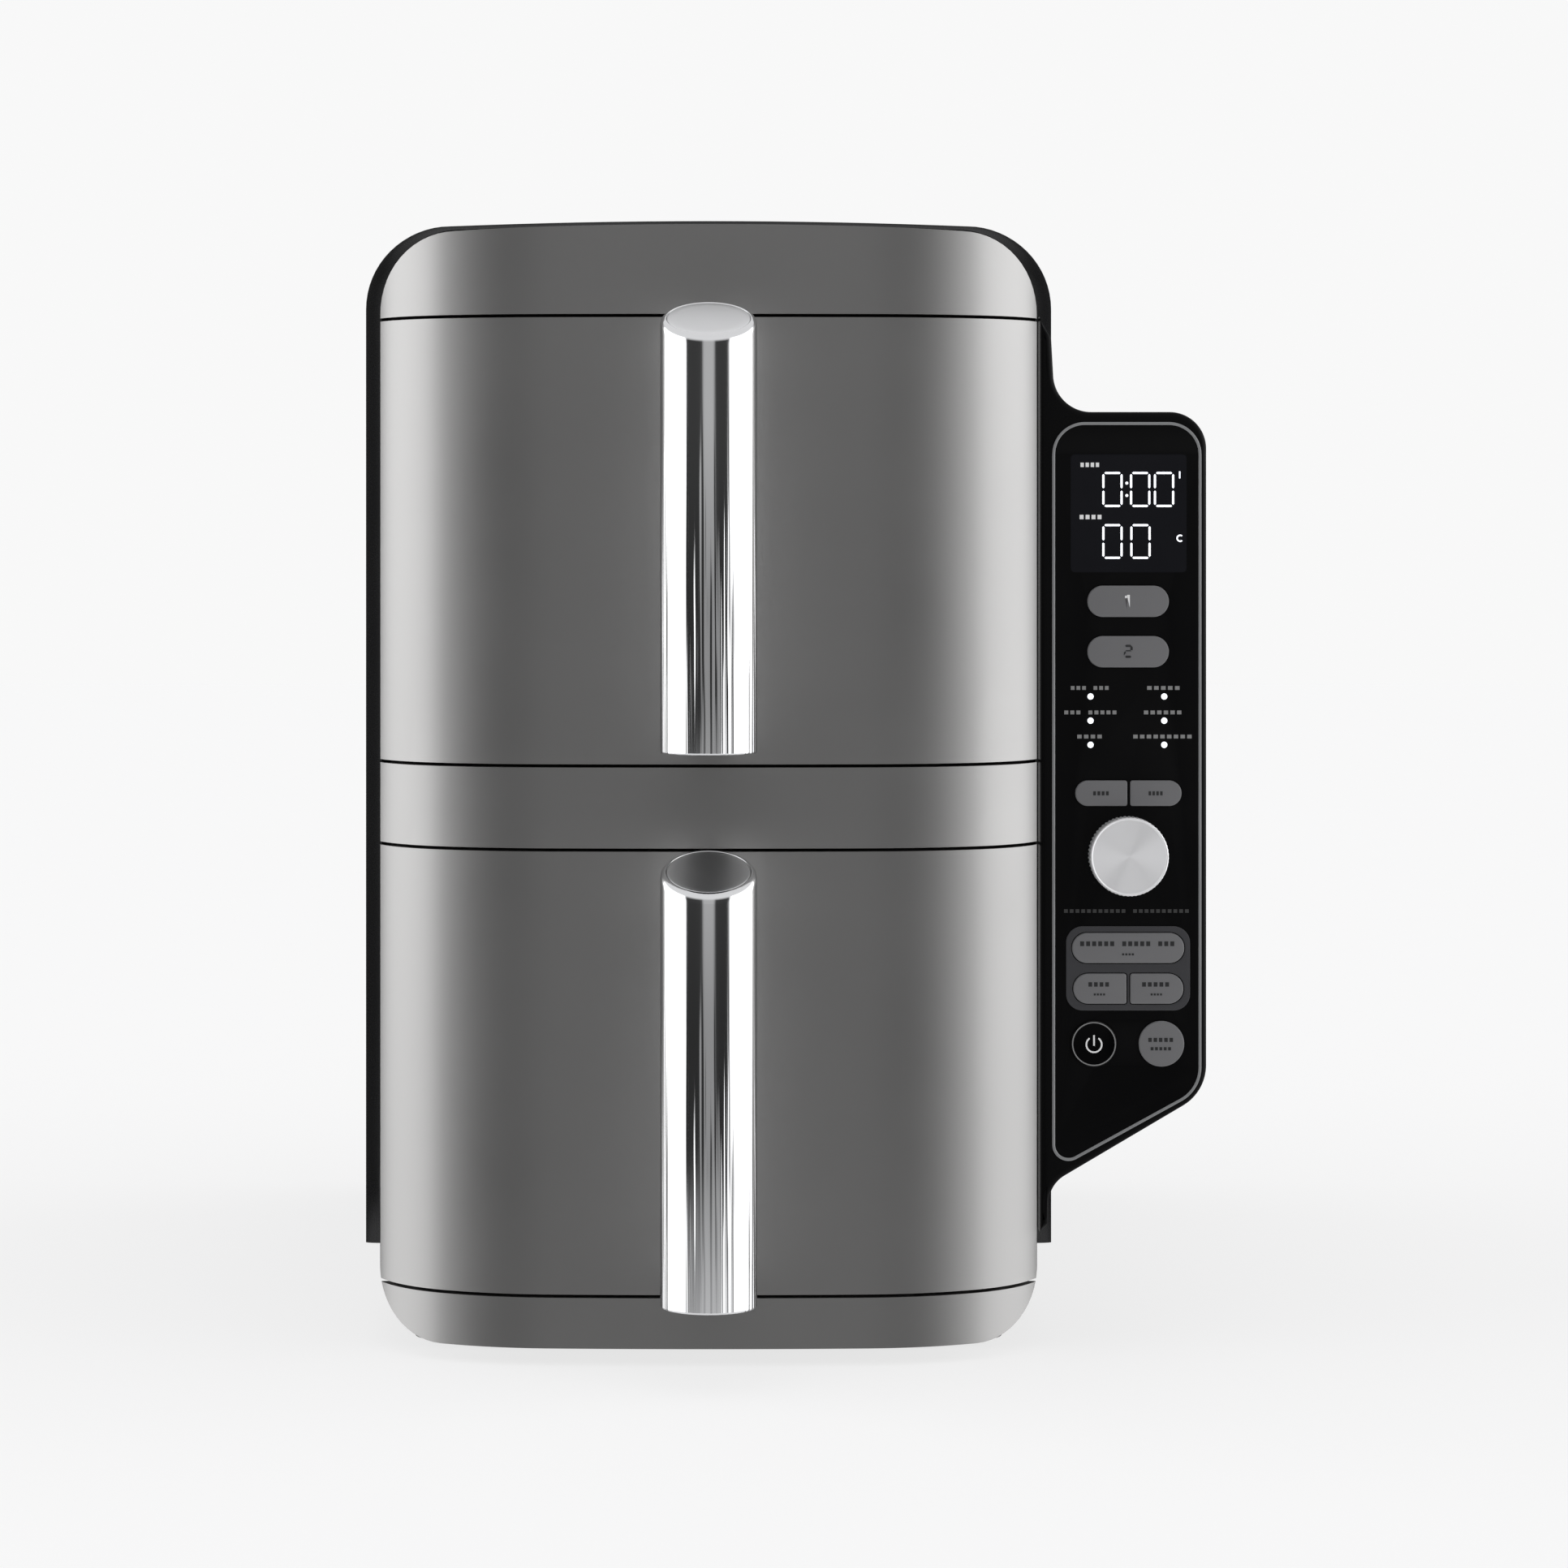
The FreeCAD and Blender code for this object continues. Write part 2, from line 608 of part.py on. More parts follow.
def handle(level, grip, spots):
    axis = "handle_radius - handle_reach"
    inner = "handle_radius - handle_wall"
    name = f"{level}_handle"
    outer = cylinder(f"{name}_outer", "handle_radius", "handle_length", "0", axis, grip)
    bore = cylinder(f"{name}_bore", inner, "handle_length + 2", "0", axis, f"{grip} - 1")
    arms = [block(f"{name}_arm_{n}", "-arm_width / 2", axis, f"{z} - arm_height / 2", "arm_width",
                  f"-({axis}) - 0.05", "arm_height") for n, z in enumerate(spots)]
    slots = [block(f"{name}_slot_{n}", "-arm_width / 2 - 0.1", axis, f"{z} - arm_height / 2 - 0.1",
                   "arm_width + 0.2", "handle_radius + 5", "arm_height + 0.2") for n, z in enumerate(spots)]
    under_cap = slant_block(f"{name}_under_cap", grip, "3.1")
    tube = cut(f"{name}_tube", outer, fuse(f"{name}_hollow", [bore, under_cap] + slots))
    place(tube)
    cap_round = cylinder(f"{name}_cap_round", "handle_radius", "handle_length", "0", axis, grip)
    cap_blank = common(f"{name}_cap_blank", cap_round, slant_block(f"{name}_cap_under", grip, "3"))
    cap = cut(f"{name}_cap", cap_blank, slant_block(f"{name}_cap_over", grip, "0"))
    place(cap)
    core_round = cylinder(f"{name}_core_round", f"{inner} - 0.1", "handle_length", "0", axis, f"{grip} + 1")
    core_blank = fuse(f"{name}_core_blank", [core_round] + arms)
    drills = [cylinder(f"{name}_drill_{n}", "screw_radius", "60", "0", f"{axis} + 14", z, "y")
              for n, z in enumerate(spots)]
    core_top = slant_block(f"{name}_core_top", grip, "3.3")
    core = cut(f"{name}_core", core_blank, fuse(f"{name}_core_cuts", drills + [core_top]))
    place(core)
    inside = "fascia_wall + carrier_wall + 0.5"
    screws = new_body(f"{level}_handle_screws")
    pad(screws, "XZ_Plane", f"{axis} + 16", f"handle_reach - handle_radius - 16 + {inside}",
        *[("0", z, "screw_radius") for z in spots])
    pad(screws, "XZ_Plane", inside, "2.4", *[("0", z, "3.8") for z in spots])


def wing_outline():
    """The control wing square on: top edge, right side and the slope back to the body."""
    return [("112.6", "336", "0"), ("112.6", "47", "0"), ("wing_root", "47", "0"),
            ("wing_root", "wing_root_low", "11"), ("wing_right", "wing_low", "16"),
            ("wing_right", "wing_top", "12.4"), ("shell_half", "wing_top", "12.9"),
            ("shell_half", "336", "0")]


def panel_outline(inset):
    """The bezel line's outer edge, moved in by inset."""
    left, right, top = f"panel_left + ({inset})", f"panel_right - ({inset})", f"panel_top - ({inset})"
    slope = "(panel_bend - panel_low) / (panel_right - panel_left)"
    reach = f"sqrt(1 + ({slope}) ^ 2)"
    return [(left, f"panel_low + ({inset}) * ({reach} + {slope})", f"5.5 - ({inset})"),
            (right, f"panel_bend + ({inset}) * ({reach} - {slope})", f"13 - ({inset})"),
            (right, top, f"11 - ({inset})"), (left, top, f"11 - ({inset})")]


def key_outline(x, z, width, height, radius, grow="0"):
    """A key with its own left and right corner rounds, the same all round when radius is one number."""
    left, right = radius if isinstance(radius, tuple) else (radius, radius)
    x1, x2 = f"{x} - {width / 2} - {grow}", f"{x} + {width / 2} + {grow}"
    z1, z2 = f"{z} - {height / 2} - {grow}", f"{z} + {height / 2} + {grow}"
    return [(x1, z1, f"{left} + {grow}"), (x2, z1, f"{right} + {grow}"), (x2, z2, f"{right} + {grow}"),
            (x1, z2, f"{left} + {grow}")]


# name: centre x, centre z, width, height, corner rounds left and right
KEYS = {
    "zone_1_key": (142.3, 255.3, 27.6, 10.6, 5.2),
    "zone_2_key": (142.3, 238.2, 27.6, 10.6, 5.2),
    "temp_key": (133.2, 190.2, 17.6, 8.6, (4.2, 0.8)),
    "time_key": (151.7, 190.2, 17.4, 8.6, (0.8, 4.2)),
    "both_key": (142.3, 137.7, 38, 10.2, 5),
    "sync_key": (132.7, 123.9, 18, 10.2, (5, 0.8)),
    "match_key": (152, 123.9, 18, 10.2, (0.8, 5)),
    "power_key": (130.7, 105.2, 15.4, 15.4, 7.6),
    "start_key": (153.6, 105.2, 15.4, 15.4, 7.6),
}
GROUP_KEYS = ("both_key", "sync_key", "match_key")
LAMPS = [(x, z) for z in (222.6, 214.3, 206) for x in (129.8, 154.7)]


def control_wing():
    front = new_body("wing_front")
    pad(front, "XZ_Plane", "wing_front", "wing_rear - wing_front", wing_outline())
    edge = value("wing_front")
    fillet(front, "1.2", lambda middle, line: abs(middle.y - edge) < 0.01 and middle.x > 120)
    pocket(front, "XZ_Plane", "wing_front + 4", "wing_rear - wing_front", wing_hollow())
    pocket(front, "XZ_Plane", "wing_front - 1", "lens_depth + 1.1", panel_outline("-0.05"))
    pocket(front, "XZ_Plane", "wing_front", "6", panel_outline("5"))
    # In front of the shell the wing reaches in to the fascia, and behind that it stops at its side.
    pocket(front, "XZ_Plane", "shell_front - 0.2", "wing_rear - shell_front + 1",
           arch("shell_half + 0.1", "shell_low", "shell_top", "shell_corner"))
    back = new_body("wing_back")
    inner, outer, top = "shell_half + 0.2", "wing_right - 3.1", "wing_top - 3.1"
    pad(back, "XZ_Plane", "wing_rear + 0.1", "3",
        [(inner, "64", "0"), (outer, "wing_low + 3", "13"), (outer, top, "10"), (inner, top, "0")])


def wing_hollow():
    return [("shell_half + 2.6", "64.5", "2"), ("wing_right - wing_wall", "92.6", "13.5"),
            ("wing_right - wing_wall", "wing_top - wing_wall", "10"),
            ("shell_half + 2.6", "wing_top - wing_wall", "2")]


def control_panel():
    lens = new_body("panel_lens")
    pad(lens, "XZ_Plane", "lens_front", "lens_depth", panel_outline("ring_width + 0.05"))
    for key in KEYS.values():
        pocket(lens, "XZ_Plane", "lens_front - 1", "lens_depth + 2", key_outline(*key, grow="key_gap"))
    pocket(lens, "XZ_Plane", "lens_front - 1", "lens_depth + 2", ("dial_x", "dial_z", "3.4"),
           *[(f"{x}", f"{z}", "1") for x, z in LAMPS])
    bezel = new_body("panel_bezel")
    pad(bezel, "XZ_Plane", "lens_front - 0.4", "lens_depth + 0.4", panel_outline("0"))
    pocket(bezel, "XZ_Plane", "lens_front - 1", "lens_depth + 2", panel_outline("ring_width"))
    plate = new_body("key_plate")
    pad(plate, "XZ_Plane", "lens_front - 0.65", "0.6", box_outline("121.3", "163.3", "116.5", "145", "5.5"))
    for name in GROUP_KEYS:
        pocket(plate, "XZ_Plane", "lens_front - 2", "3", key_outline(*KEYS[name], grow="key_gap"))
    display = new_body("display_module")
    pad(display, "XZ_Plane", "lens_front + lens_depth + 0.2", "8",
        box_outline("123.6", "161.4", "265.1", "305.2", "1"))
    pipes = new_body("light_pipes")
    pad(pipes, "XZ_Plane", "lens_front - 0.1", "board_front - lens_front",
        *[(f"{x}", f"{z}", "0.9") for x, z in LAMPS])
    board = new_body("control_board")
    pad(board, "XZ_Plane", "board_front", "1.6", box_outline("123.5", "161", "99", "308", "1"))
    for name, key in KEYS.items():
        cap = new_body(name)
        pad(cap, "XZ_Plane", "lens_front - key_proud", "key_depth", key_outline(*key))
        face = value("lens_front - key_proud")
        fillet(cap, "0.5", lambda middle, edge: abs(middle.y - face) < 0.01)
    knob = new_body("dial_knob", x="dial_x", z="dial_z")
    pad(knob, "XZ_Plane", "lens_front - 0.4 - dial_depth", "dial_depth", ("0", "0", "dial_radius"))
    knob_face = value("lens_front - 0.4 - dial_depth")
    fillet(knob, "1.2", lambda middle, edge: abs(middle.y - knob_face) < 0.01)
    pad(knob, "XZ_Plane", "lens_front - 0.6", "9", ("0", "0", "3"))
    encoder = new_body("dial_encoder", x="dial_x", z="dial_z")
    pad(encoder, "XZ_Plane", "lens_front + 4", "7.8", box_outline("-6.5", "6.5", "-6.5", "6.5", "0.5"))
    pocket(encoder, "XZ_Plane", "lens_front + 3", "6.5", ("0", "0", "3.06"))


def small_parts():
    feet = new_body("feet")
    spots = [(x, y) for x in ("-foot_x", "foot_x") for y in ("58", "372")]
    pad(feet, "XY_Plane", "0", "foot_height", *[(x, y, "foot_radius") for x, y in spots])
    fillet(feet, "1", lambda middle, edge: abs(middle.z) < 0.01)
    bushing = new_body("cord_bushing", x="-80", z="52")
    pad(bushing, "XZ_Plane", "rear_end - 8", "8", ("0", "0", "5.9"))
    pad(bushing, "XZ_Plane", "rear_end - 9.6", "1.6", ("0", "0", "8"))
    pocket(bushing, "XZ_Plane", "rear_end - 10", "12", ("0", "0", "3.6"))
    board = new_body("power_board")
    pad(board, "XY_Plane", "180", "1.6", box_outline("-70", "70", "90", "290", "2"))
    pad(board, "XY_Plane", "181.6", "14", box_outline("-50", "-20", "120", "150", "1"),
        box_outline("10", "40", "200", "224", "1"))
    pad(board, "XY_Plane", "181.6", "16", ("30", "150", "8"), ("0", "250", "6"))
    switches = new_body("drawer_switches")
    pad(switches, "XZ_Plane", "frame_rear + 0.2", "12",
        *[box_outline("104", "108", f"{base} + 60", f"{base} + 80", "0.5") for base in LEVELS.values()])
    cutouts = new_body("thermal_cutouts")
    pad(cutouts, "XY_Plane", "seam_lower - 1.8", "5", ("40", "330", "7"))
    pad(cutouts, "XY_Plane", "seam_brow - 3.2", "5", ("40", "330", "7"))
    screws = new_body("casing_screws")
    pad(screws, "XZ_Plane", "rear_end - 1.8", "1.6", *[(x, z, "3.4") for x, z in CASING_SCREWS])


casing_fascias()
outer_shell()
rear_cover()
base_plate()
front_frame()
chambers()
fans()
heaters()
drawers()
control_wing()
control_panel()
small_parts()
doc.recompute()

for thing in doc.Objects:
    if {"Invalid", "Error"} & set(thing.State):
        raise ValueError(f"{thing.Label} failed to build: {thing.State}")
for part in parts:
    if part.Shape.isNull() or not part.Shape.isValid() or not part.Shape.Solids:
        raise ValueError(f"{part.Label} has no valid solid")
for part in parts:
    part.Shape.exportStep(f"parts/{part.Label}.step")
print(len(parts), "parts")
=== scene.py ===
import json
import math

import bmesh
import bpy
from mathutils import Matrix, Vector

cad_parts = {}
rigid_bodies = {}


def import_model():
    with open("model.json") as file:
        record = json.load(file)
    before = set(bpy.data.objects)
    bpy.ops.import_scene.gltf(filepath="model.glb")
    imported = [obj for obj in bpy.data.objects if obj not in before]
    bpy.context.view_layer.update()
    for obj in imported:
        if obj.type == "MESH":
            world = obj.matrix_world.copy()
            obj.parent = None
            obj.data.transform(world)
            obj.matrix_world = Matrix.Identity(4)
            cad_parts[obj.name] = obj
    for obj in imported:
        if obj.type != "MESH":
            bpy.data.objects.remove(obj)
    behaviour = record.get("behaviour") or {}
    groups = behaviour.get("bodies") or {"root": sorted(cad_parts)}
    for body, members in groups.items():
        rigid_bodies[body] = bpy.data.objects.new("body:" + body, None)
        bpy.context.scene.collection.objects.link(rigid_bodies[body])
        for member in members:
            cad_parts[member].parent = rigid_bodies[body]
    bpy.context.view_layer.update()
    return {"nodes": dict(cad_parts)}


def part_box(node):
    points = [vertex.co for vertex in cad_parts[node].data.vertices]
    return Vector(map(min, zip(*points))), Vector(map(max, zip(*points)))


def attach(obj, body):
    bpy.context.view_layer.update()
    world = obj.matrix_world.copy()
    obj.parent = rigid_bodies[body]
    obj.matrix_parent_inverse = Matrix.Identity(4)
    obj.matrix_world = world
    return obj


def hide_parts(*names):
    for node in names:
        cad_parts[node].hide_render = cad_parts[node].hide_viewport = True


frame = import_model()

# ---------------------------------------------------------------------------------------------
# The set. A seamless pale sweep, a long lens looking square at the front, and soft light from
# both sides, so that the bowed metal front is dark in its middle and bright at its sides.
# ---------------------------------------------------------------------------------------------
MM = 0.001
scene = bpy.context.scene
scene.view_settings.view_transform = "Standard"
brow_low, brow_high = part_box("fascia_top")
CENTRE = (brow_low.x + brow_high.x) / 2
FRONT = brow_low.y


def link(name, data):
    """A new object in the scene for a mesh, lens or lamp."""
    thing = bpy.data.objects.new(name, data)
    scene.collection.objects.link(thing)
    return thing


camera_data = bpy.data.cameras.new("camera")
camera_data.sensor_width = 36
camera_data.lens = 100.6
camera_data.shift_x = 0.0481
camera_data.shift_y = -0.1667
camera_data.clip_end = 50
camera = link("camera", camera_data)
camera.location = (CENTRE, FRONT - 1.463, 0.282)
camera.rotation_euler = (math.radians(90), 0, 0)
scene.camera = camera

# What the machine mirrors is the studio's walls and ceiling; past it the lens sees plain pale paper.
world = bpy.data.worlds.new("studio")
scene.world = world
world.use_nodes = True
sky = world.node_tree
sky.nodes.clear()


def add(tree, kind, **values):
    """A shader node with its settings, and with its inputs set by name or number."""
    node = tree.nodes.new(kind)
    for name, content in values.items():
        if name == "inputs":
            for key, number in content.items():
                node.inputs[key].default_value = number
        else:
            setattr(node, name, content)
    return node


def join(tree, *pairs):
    """Link outputs to inputs, in pairs."""
    for source, target in pairs:
        tree.links.new(source, target)


direction = add(sky, "ShaderNodeTexCoord")
split = add(sky, "ShaderNodeSeparateXYZ")
behind = add(sky, "ShaderNodeMath", operation="MULTIPLY", inputs={1: -1})
bearing = add(sky, "ShaderNodeMath", operation="ARCTAN2")
share = add(sky, "ShaderNodeMath", operation="MULTIPLY_ADD", inputs={1: 1 / 360, 2: 0.5})
degrees = add(sky, "ShaderNodeMath", operation="DEGREES")
walls = add(sky, "ShaderNodeValToRGB")
# Bearing from the lens in degrees, left of it negative, and how bright the studio is that way.
STUDIO = [(-180, 0.04), (-131, 0.04), (-127, 2.7), (-61, 2.7), (-52, 0.04), (-17, 0.045), (-11, 0.46),
          (11, 0.46), (17, 0.045), (47, 0.04), (56, 2.7), (127, 2.7), (131, 0.04), (180, 0.04)]
walls.color_ramp.elements.remove(walls.color_ramp.elements[0])
for number, (way, glow) in enumerate(STUDIO):
    place = 0.5 + way / 360
    stop = walls.color_ramp.elements[0] if number == 0 else walls.color_ramp.elements.new(place)
    stop.position = place
    stop.color = (glow, glow, glow * 1.01, 1)
height = add(sky, "ShaderNodeMath", operation="ABSOLUTE")
over = add(sky, "ShaderNodeMapRange", inputs={"From Min": 0.3, "From Max": 0.6})
sunk = add(sky, "ShaderNodeMapRange",
           inputs={"From Min": -0.17, "From Max": 0.0, "To Min": 0.62, "To Max": 1.0})
lit = add(sky, "ShaderNodeVectorMath", operation="SCALE")
poles = add(sky, "ShaderNodeMix", data_type="RGBA", inputs={"B": (0.75, 0.75, 0.76, 1)})
studio = add(sky, "ShaderNodeBackground", inputs={"Strength": 1.0})
paper = add(sky, "ShaderNodeBackground", inputs={"Color": (0.94, 0.94, 0.94, 1)})
ray = add(sky, "ShaderNodeLightPath")
pick = add(sky, "ShaderNodeMixShader")
world_out = add(sky, "ShaderNodeOutputWorld")
join(sky, (direction.outputs["Generated"], split.inputs[0]), (split.outputs["X"], bearing.inputs[0]),
     (split.outputs["Y"], behind.inputs[0]), (behind.outputs[0], bearing.inputs[1]),
     (bearing.outputs[0], degrees.inputs[0]), (degrees.outputs[0], share.inputs[0]),
     (share.outputs[0], walls.inputs[0]), (split.outputs["Z"], height.inputs[0]),
     (height.outputs[0], over.inputs["Value"]), (over.outputs[0], poles.inputs["Factor"]),
     (walls.outputs[0], lit.inputs[0]), (split.outputs["Z"], sunk.inputs["Value"]),
     (sunk.outputs[0], lit.inputs["Scale"]), (lit.outputs[0], poles.inputs["A"]),
     (poles.outputs["Result"], studio.inputs["Color"]),
     (ray.outputs["Is Camera Ray"], pick.inputs[0]), (studio.outputs[0], pick.inputs[1]),
     (paper.outputs[0], pick.inputs[2]), (pick.outputs[0], world_out.inputs[0]))


# ---------------------------------------------------------------------------------------------
# The sweep. A flat sheet of paper-white board under the machine, far wider than the view. Its
# finish, like all that follow, has a slight mottling, uneven gloss, fine grain and rubbed edges.
# ---------------------------------------------------------------------------------------------
def worked_surface():
    """Colour, gloss and grain that vary over a surface, as a node group with named inputs."""
    tree = bpy.data.node_groups.new("worked_surface", "ShaderNodeTree")
    for name, kind, default in (
            ("Colour", "NodeSocketColor", (0.5, 0.5, 0.5, 1)),
            ("Rubbed Colour", "NodeSocketColor", (0.6, 0.6, 0.6, 1)),
            ("Mottle", "NodeSocketFloat", 0.05), ("Rubbing", "NodeSocketFloat", 0.3),
            ("Roughness", "NodeSocketFloat", 0.4), ("Unevenness", "NodeSocketFloat", 0.08),
            ("Grain Scale", "NodeSocketFloat", 2500.0), ("Grain Depth", "NodeSocketFloat", 0.1),
            ("Stretch", "NodeSocketVector", (1, 1, 1))):
        socket = tree.interface.new_socket(name, in_out="INPUT", socket_type=kind)
        socket.default_value = default
    for name, kind in (("Colour", "NodeSocketColor"), ("Roughness", "NodeSocketFloat"),
                       ("Normal", "NodeSocketVector")):
        tree.interface.new_socket(name, in_out="OUTPUT", socket_type=kind)
    given = add(tree, "NodeGroupInput")
    made = add(tree, "NodeGroupOutput")
    place = add(tree, "ShaderNodeTexCoord")
    stretched = add(tree, "ShaderNodeVectorMath", operation="MULTIPLY")
    broad = add(tree, "ShaderNodeTexNoise", inputs={"Scale": 22.0, "Detail": 4.0})
    fine = add(tree, "ShaderNodeTexNoise", inputs={"Detail": 3.0, "Roughness": 0.6})
    centred = add(tree, "ShaderNodeMath", operation="SUBTRACT", inputs={1: 0.5})
    amount = add(tree, "ShaderNodeMath", operation="MULTIPLY")
    brighten = add(tree, "ShaderNodeMath", operation="ADD", inputs={1: 1.0})
    shade = add(tree, "ShaderNodeVectorMath", operation="SCALE")
    form = add(tree, "ShaderNodeNewGeometry")
    edge = add(tree, "ShaderNodeMapRange", inputs={"From Min": 0.53, "From Max": 0.64})
    patchy = add(tree, "ShaderNodeMath", operation="MULTIPLY")
    rubbed = add(tree, "ShaderNodeMath", operation="MULTIPLY")
    colour = add(tree, "ShaderNodeMix", data_type="RGBA")
    fine_centred = add(tree, "ShaderNodeMath", operation="SUBTRACT", inputs={1: 0.5})
    blend = add(tree, "ShaderNodeMath", operation="ADD")
    spread = add(tree, "ShaderNodeMath", operation="MULTIPLY_ADD")
    bump = add(tree, "ShaderNodeBump", inputs={"Distance": 0.0002})
    join(tree, (place.outputs["Object"], broad.inputs["Vector"]),
         (place.outputs["Object"], stretched.inputs[0]), (given.outputs["Stretch"], stretched.inputs[1]),
         (stretched.outputs[0], fine.inputs["Vector"]),
         (given.outputs["Grain Scale"], fine.inputs["Scale"]), (broad.outputs[0], centred.inputs[0]),
         (centred.outputs[0], amount.inputs[0]), (given.outputs["Mottle"], amount.inputs[1]),
         (amount.outputs[0], brighten.inputs[0]), (given.outputs["Colour"], shade.inputs[0]),
         (brighten.outputs[0], shade.inputs["Scale"]), (form.outputs["Pointiness"], edge.inputs["Value"]),
         (edge.outputs[0], patchy.inputs[0]), (broad.outputs[0], patchy.inputs[1]),
         (patchy.outputs[0], rubbed.inputs[0]), (given.outputs["Rubbing"], rubbed.inputs[1]),
         (rubbed.outputs[0], colour.inputs["Factor"]), (shade.outputs[0], colour.inputs["A"]),
         (given.outputs["Rubbed Colour"], colour.inputs["B"]),
         (colour.outputs["Result"], made.inputs["Colour"]),
         (fine.outputs[0], fine_centred.inputs[0]), (centred.outputs[0], blend.inputs[0]),
         (fine_centred.outputs[0], blend.inputs[1]), (blend.outputs[0], spread.inputs[0]),
         (given.outputs["Unevenness"], spread.inputs[1]), (given.outputs["Roughness"], spread.inputs[2]),
         (spread.outputs[0], made.inputs["Roughness"]), (fine.outputs[0], bump.inputs["Height"]),
         (given.outputs["Grain Depth"], bump.inputs["Strength"]), (bump.outputs[0], made.inputs["Normal"]))
    return tree


SURFACE = worked_surface()


def finish(name, colour, roughness, metallic=0.0, specular=0.5, coat=0.0, coat_roughness=0.1, rubbed=None,
           glow=0.0, anisotropy=0.0, **surface):
    """A material on the shared surface group. Colours are linear, and surface names the group's inputs."""
    material = bpy.data.materials.new(name)
    material.use_nodes = True
    tree = material.node_tree
    shader = tree.nodes["Principled BSDF"]
    group = add(tree, "ShaderNodeGroup", node_tree=SURFACE)
    group.inputs["Colour"].default_value = (*colour, 1)
    worn = rubbed or [min(1, 1.6 * part + 0.02) for part in colour]
    group.inputs["Rubbed Colour"].default_value = (*worn, 1)
    group.inputs["Roughness"].default_value = roughness
    for key, number in surface.items():
        group.inputs[key.replace("_", " ").title()].default_value = number
    shader.inputs["Metallic"].default_value = metallic
    shader.inputs["Specular IOR Level"].default_value = specular
    shader.inputs["Coat Weight"].default_value = coat
    shader.inputs["Coat Roughness"].default_value = coat_roughness
    shader.inputs["Anisotropic"].default_value = anisotropy
    if glow:
        shader.inputs["Emission Strength"].default_value = glow
        join(tree, (group.outputs["Colour"], shader.inputs["Emission Color"]))
    join(tree, (group.outputs["Colour"], shader.inputs["Base Color"]),
         (group.outputs["Roughness"], shader.inputs["Roughness"]),
         (group.outputs["Normal"], shader.inputs["Normal"]))
    return material


floor_mesh = bpy.data.meshes.new("sweep")
floor_form = bmesh.new()
bmesh.ops.create_grid(floor_form, x_segments=8, y_segments=8, size=6)
floor_form.to_mesh(floor_mesh)
floor_form.free()
sweep = link("sweep", floor_mesh)
sweep.visible_glossy = False

# The board glows a little, so that it stays white to its far edge, and its own colour is darker.
board = finish("paper_board", (0.94, 0.94, 0.94), 0.9, glow=0.775, specular=0, mottle=0.004, grain_depth=0.02)
board_shader = board.node_tree.nodes["Principled BSDF"]
board.node_tree.links.remove(board_shader.inputs["Base Color"].links[0])
board_shader.inputs["Base Color"].default_value = (0.25, 0.25, 0.25, 1)
sweep.data.materials.append(board)


# ---------------------------------------------------------------------------------------------
# Base pan and feet. The pan is black polypropylene, moulded in one piece and screwed up into the
# shell; the feet are pushed into it, of soft black silicone that grips the worktop.
# ---------------------------------------------------------------------------------------------
def dress(material, *nodes):
    """Give carried-over parts their finish."""
    for name in nodes:
        mesh = frame["nodes"][name].data
        mesh.materials.clear()
        mesh.materials.append(material)


black_inner = finish("black_polypropylene", (0.022, 0.022, 0.023), 0.5, mottle=0.2, unevenness=0.15,
                     grain_scale=1800, grain_depth=0.35)
silicone = finish("black_silicone", (0.03, 0.03, 0.03), 0.72, mottle=0.3, unevenness=0.1, grain_scale=900,
                  grain_depth=0.25)
dress(black_inner, "base_plate", "front_frame", "upper_carrier", "lower_carrier", "drawer_switches",
      "dial_encoder", "display_module", "cord_bushing", "upper_handle_core", "lower_handle_core")
dress(silicone, "feet", "upper_plate_bumpers", "lower_plate_bumpers")

# ---------------------------------------------------------------------------------------------
# Cooking chambers and what drives them. Folded aluminised sheet boxes, each with a coiled sheathed
# element and a pressed fan at the back, turned by a motor behind the wall.
# ---------------------------------------------------------------------------------------------
aluminised = finish("aluminised_sheet", (0.5, 0.5, 0.49), 0.38, metallic=1, mottle=0.18, unevenness=0.2,
                    grain_scale=600, grain_depth=0.12, stretch=(1, 0.15, 1))
plain_steel = finish("zinc_plated_steel", (0.48, 0.48, 0.5), 0.34, metallic=1, mottle=0.12, unevenness=0.16,
                     grain_scale=1200, grain_depth=0.08)
element_sheath = finish("oxidised_sheath", (0.16, 0.13, 0.12), 0.55, metallic=0.8, mottle=0.5,
                        unevenness=0.25, grain_scale=700, grain_depth=0.3)
solder_mask = finish("solder_mask", (0.015, 0.09, 0.035), 0.35, mottle=0.2, unevenness=0.1, grain_scale=500,
                     grain_depth=0.2)
dress(aluminised, "upper_chamber", "lower_chamber", "upper_fan", "lower_fan")
dress(plain_steel, "upper_motor", "lower_motor", "upper_fan_shaft", "lower_fan_shaft", "thermal_cutouts",
      "casing_screws", "upper_handle_screws", "lower_handle_screws")
dress(element_sheath, "upper_heater", "lower_heater")
dress(solder_mask, "power_board", "control_board")

# ---------------------------------------------------------------------------------------------
# Outer shell. One moulding of black flame-retardant plastic wraps the top and both sides; its front
# edge turns in to meet the grey front in one unbroken curve.
# ---------------------------------------------------------------------------------------------
def piece(name, mesh, material, body, slot, *stands_for, sharp=32):
    """A finished part from a mesh: smooth but for its sharp edges, riding on its body."""
    mesh.name = name
    mesh.materials.clear()
    mesh.materials.append(material)
    mesh.shade_smooth()
    mesh.set_sharp_from_angle(angle=math.radians(sharp))
    thing = link(name, mesh)
    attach(thing, body)
    if stands_for:
        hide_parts(*stands_for)
    return thing


def at(x, y, z):
    """A point from millimetres off the centre line, behind the front face and above the table."""
    return Vector((CENTRE + x * MM, FRONT + y * MM, z * MM))


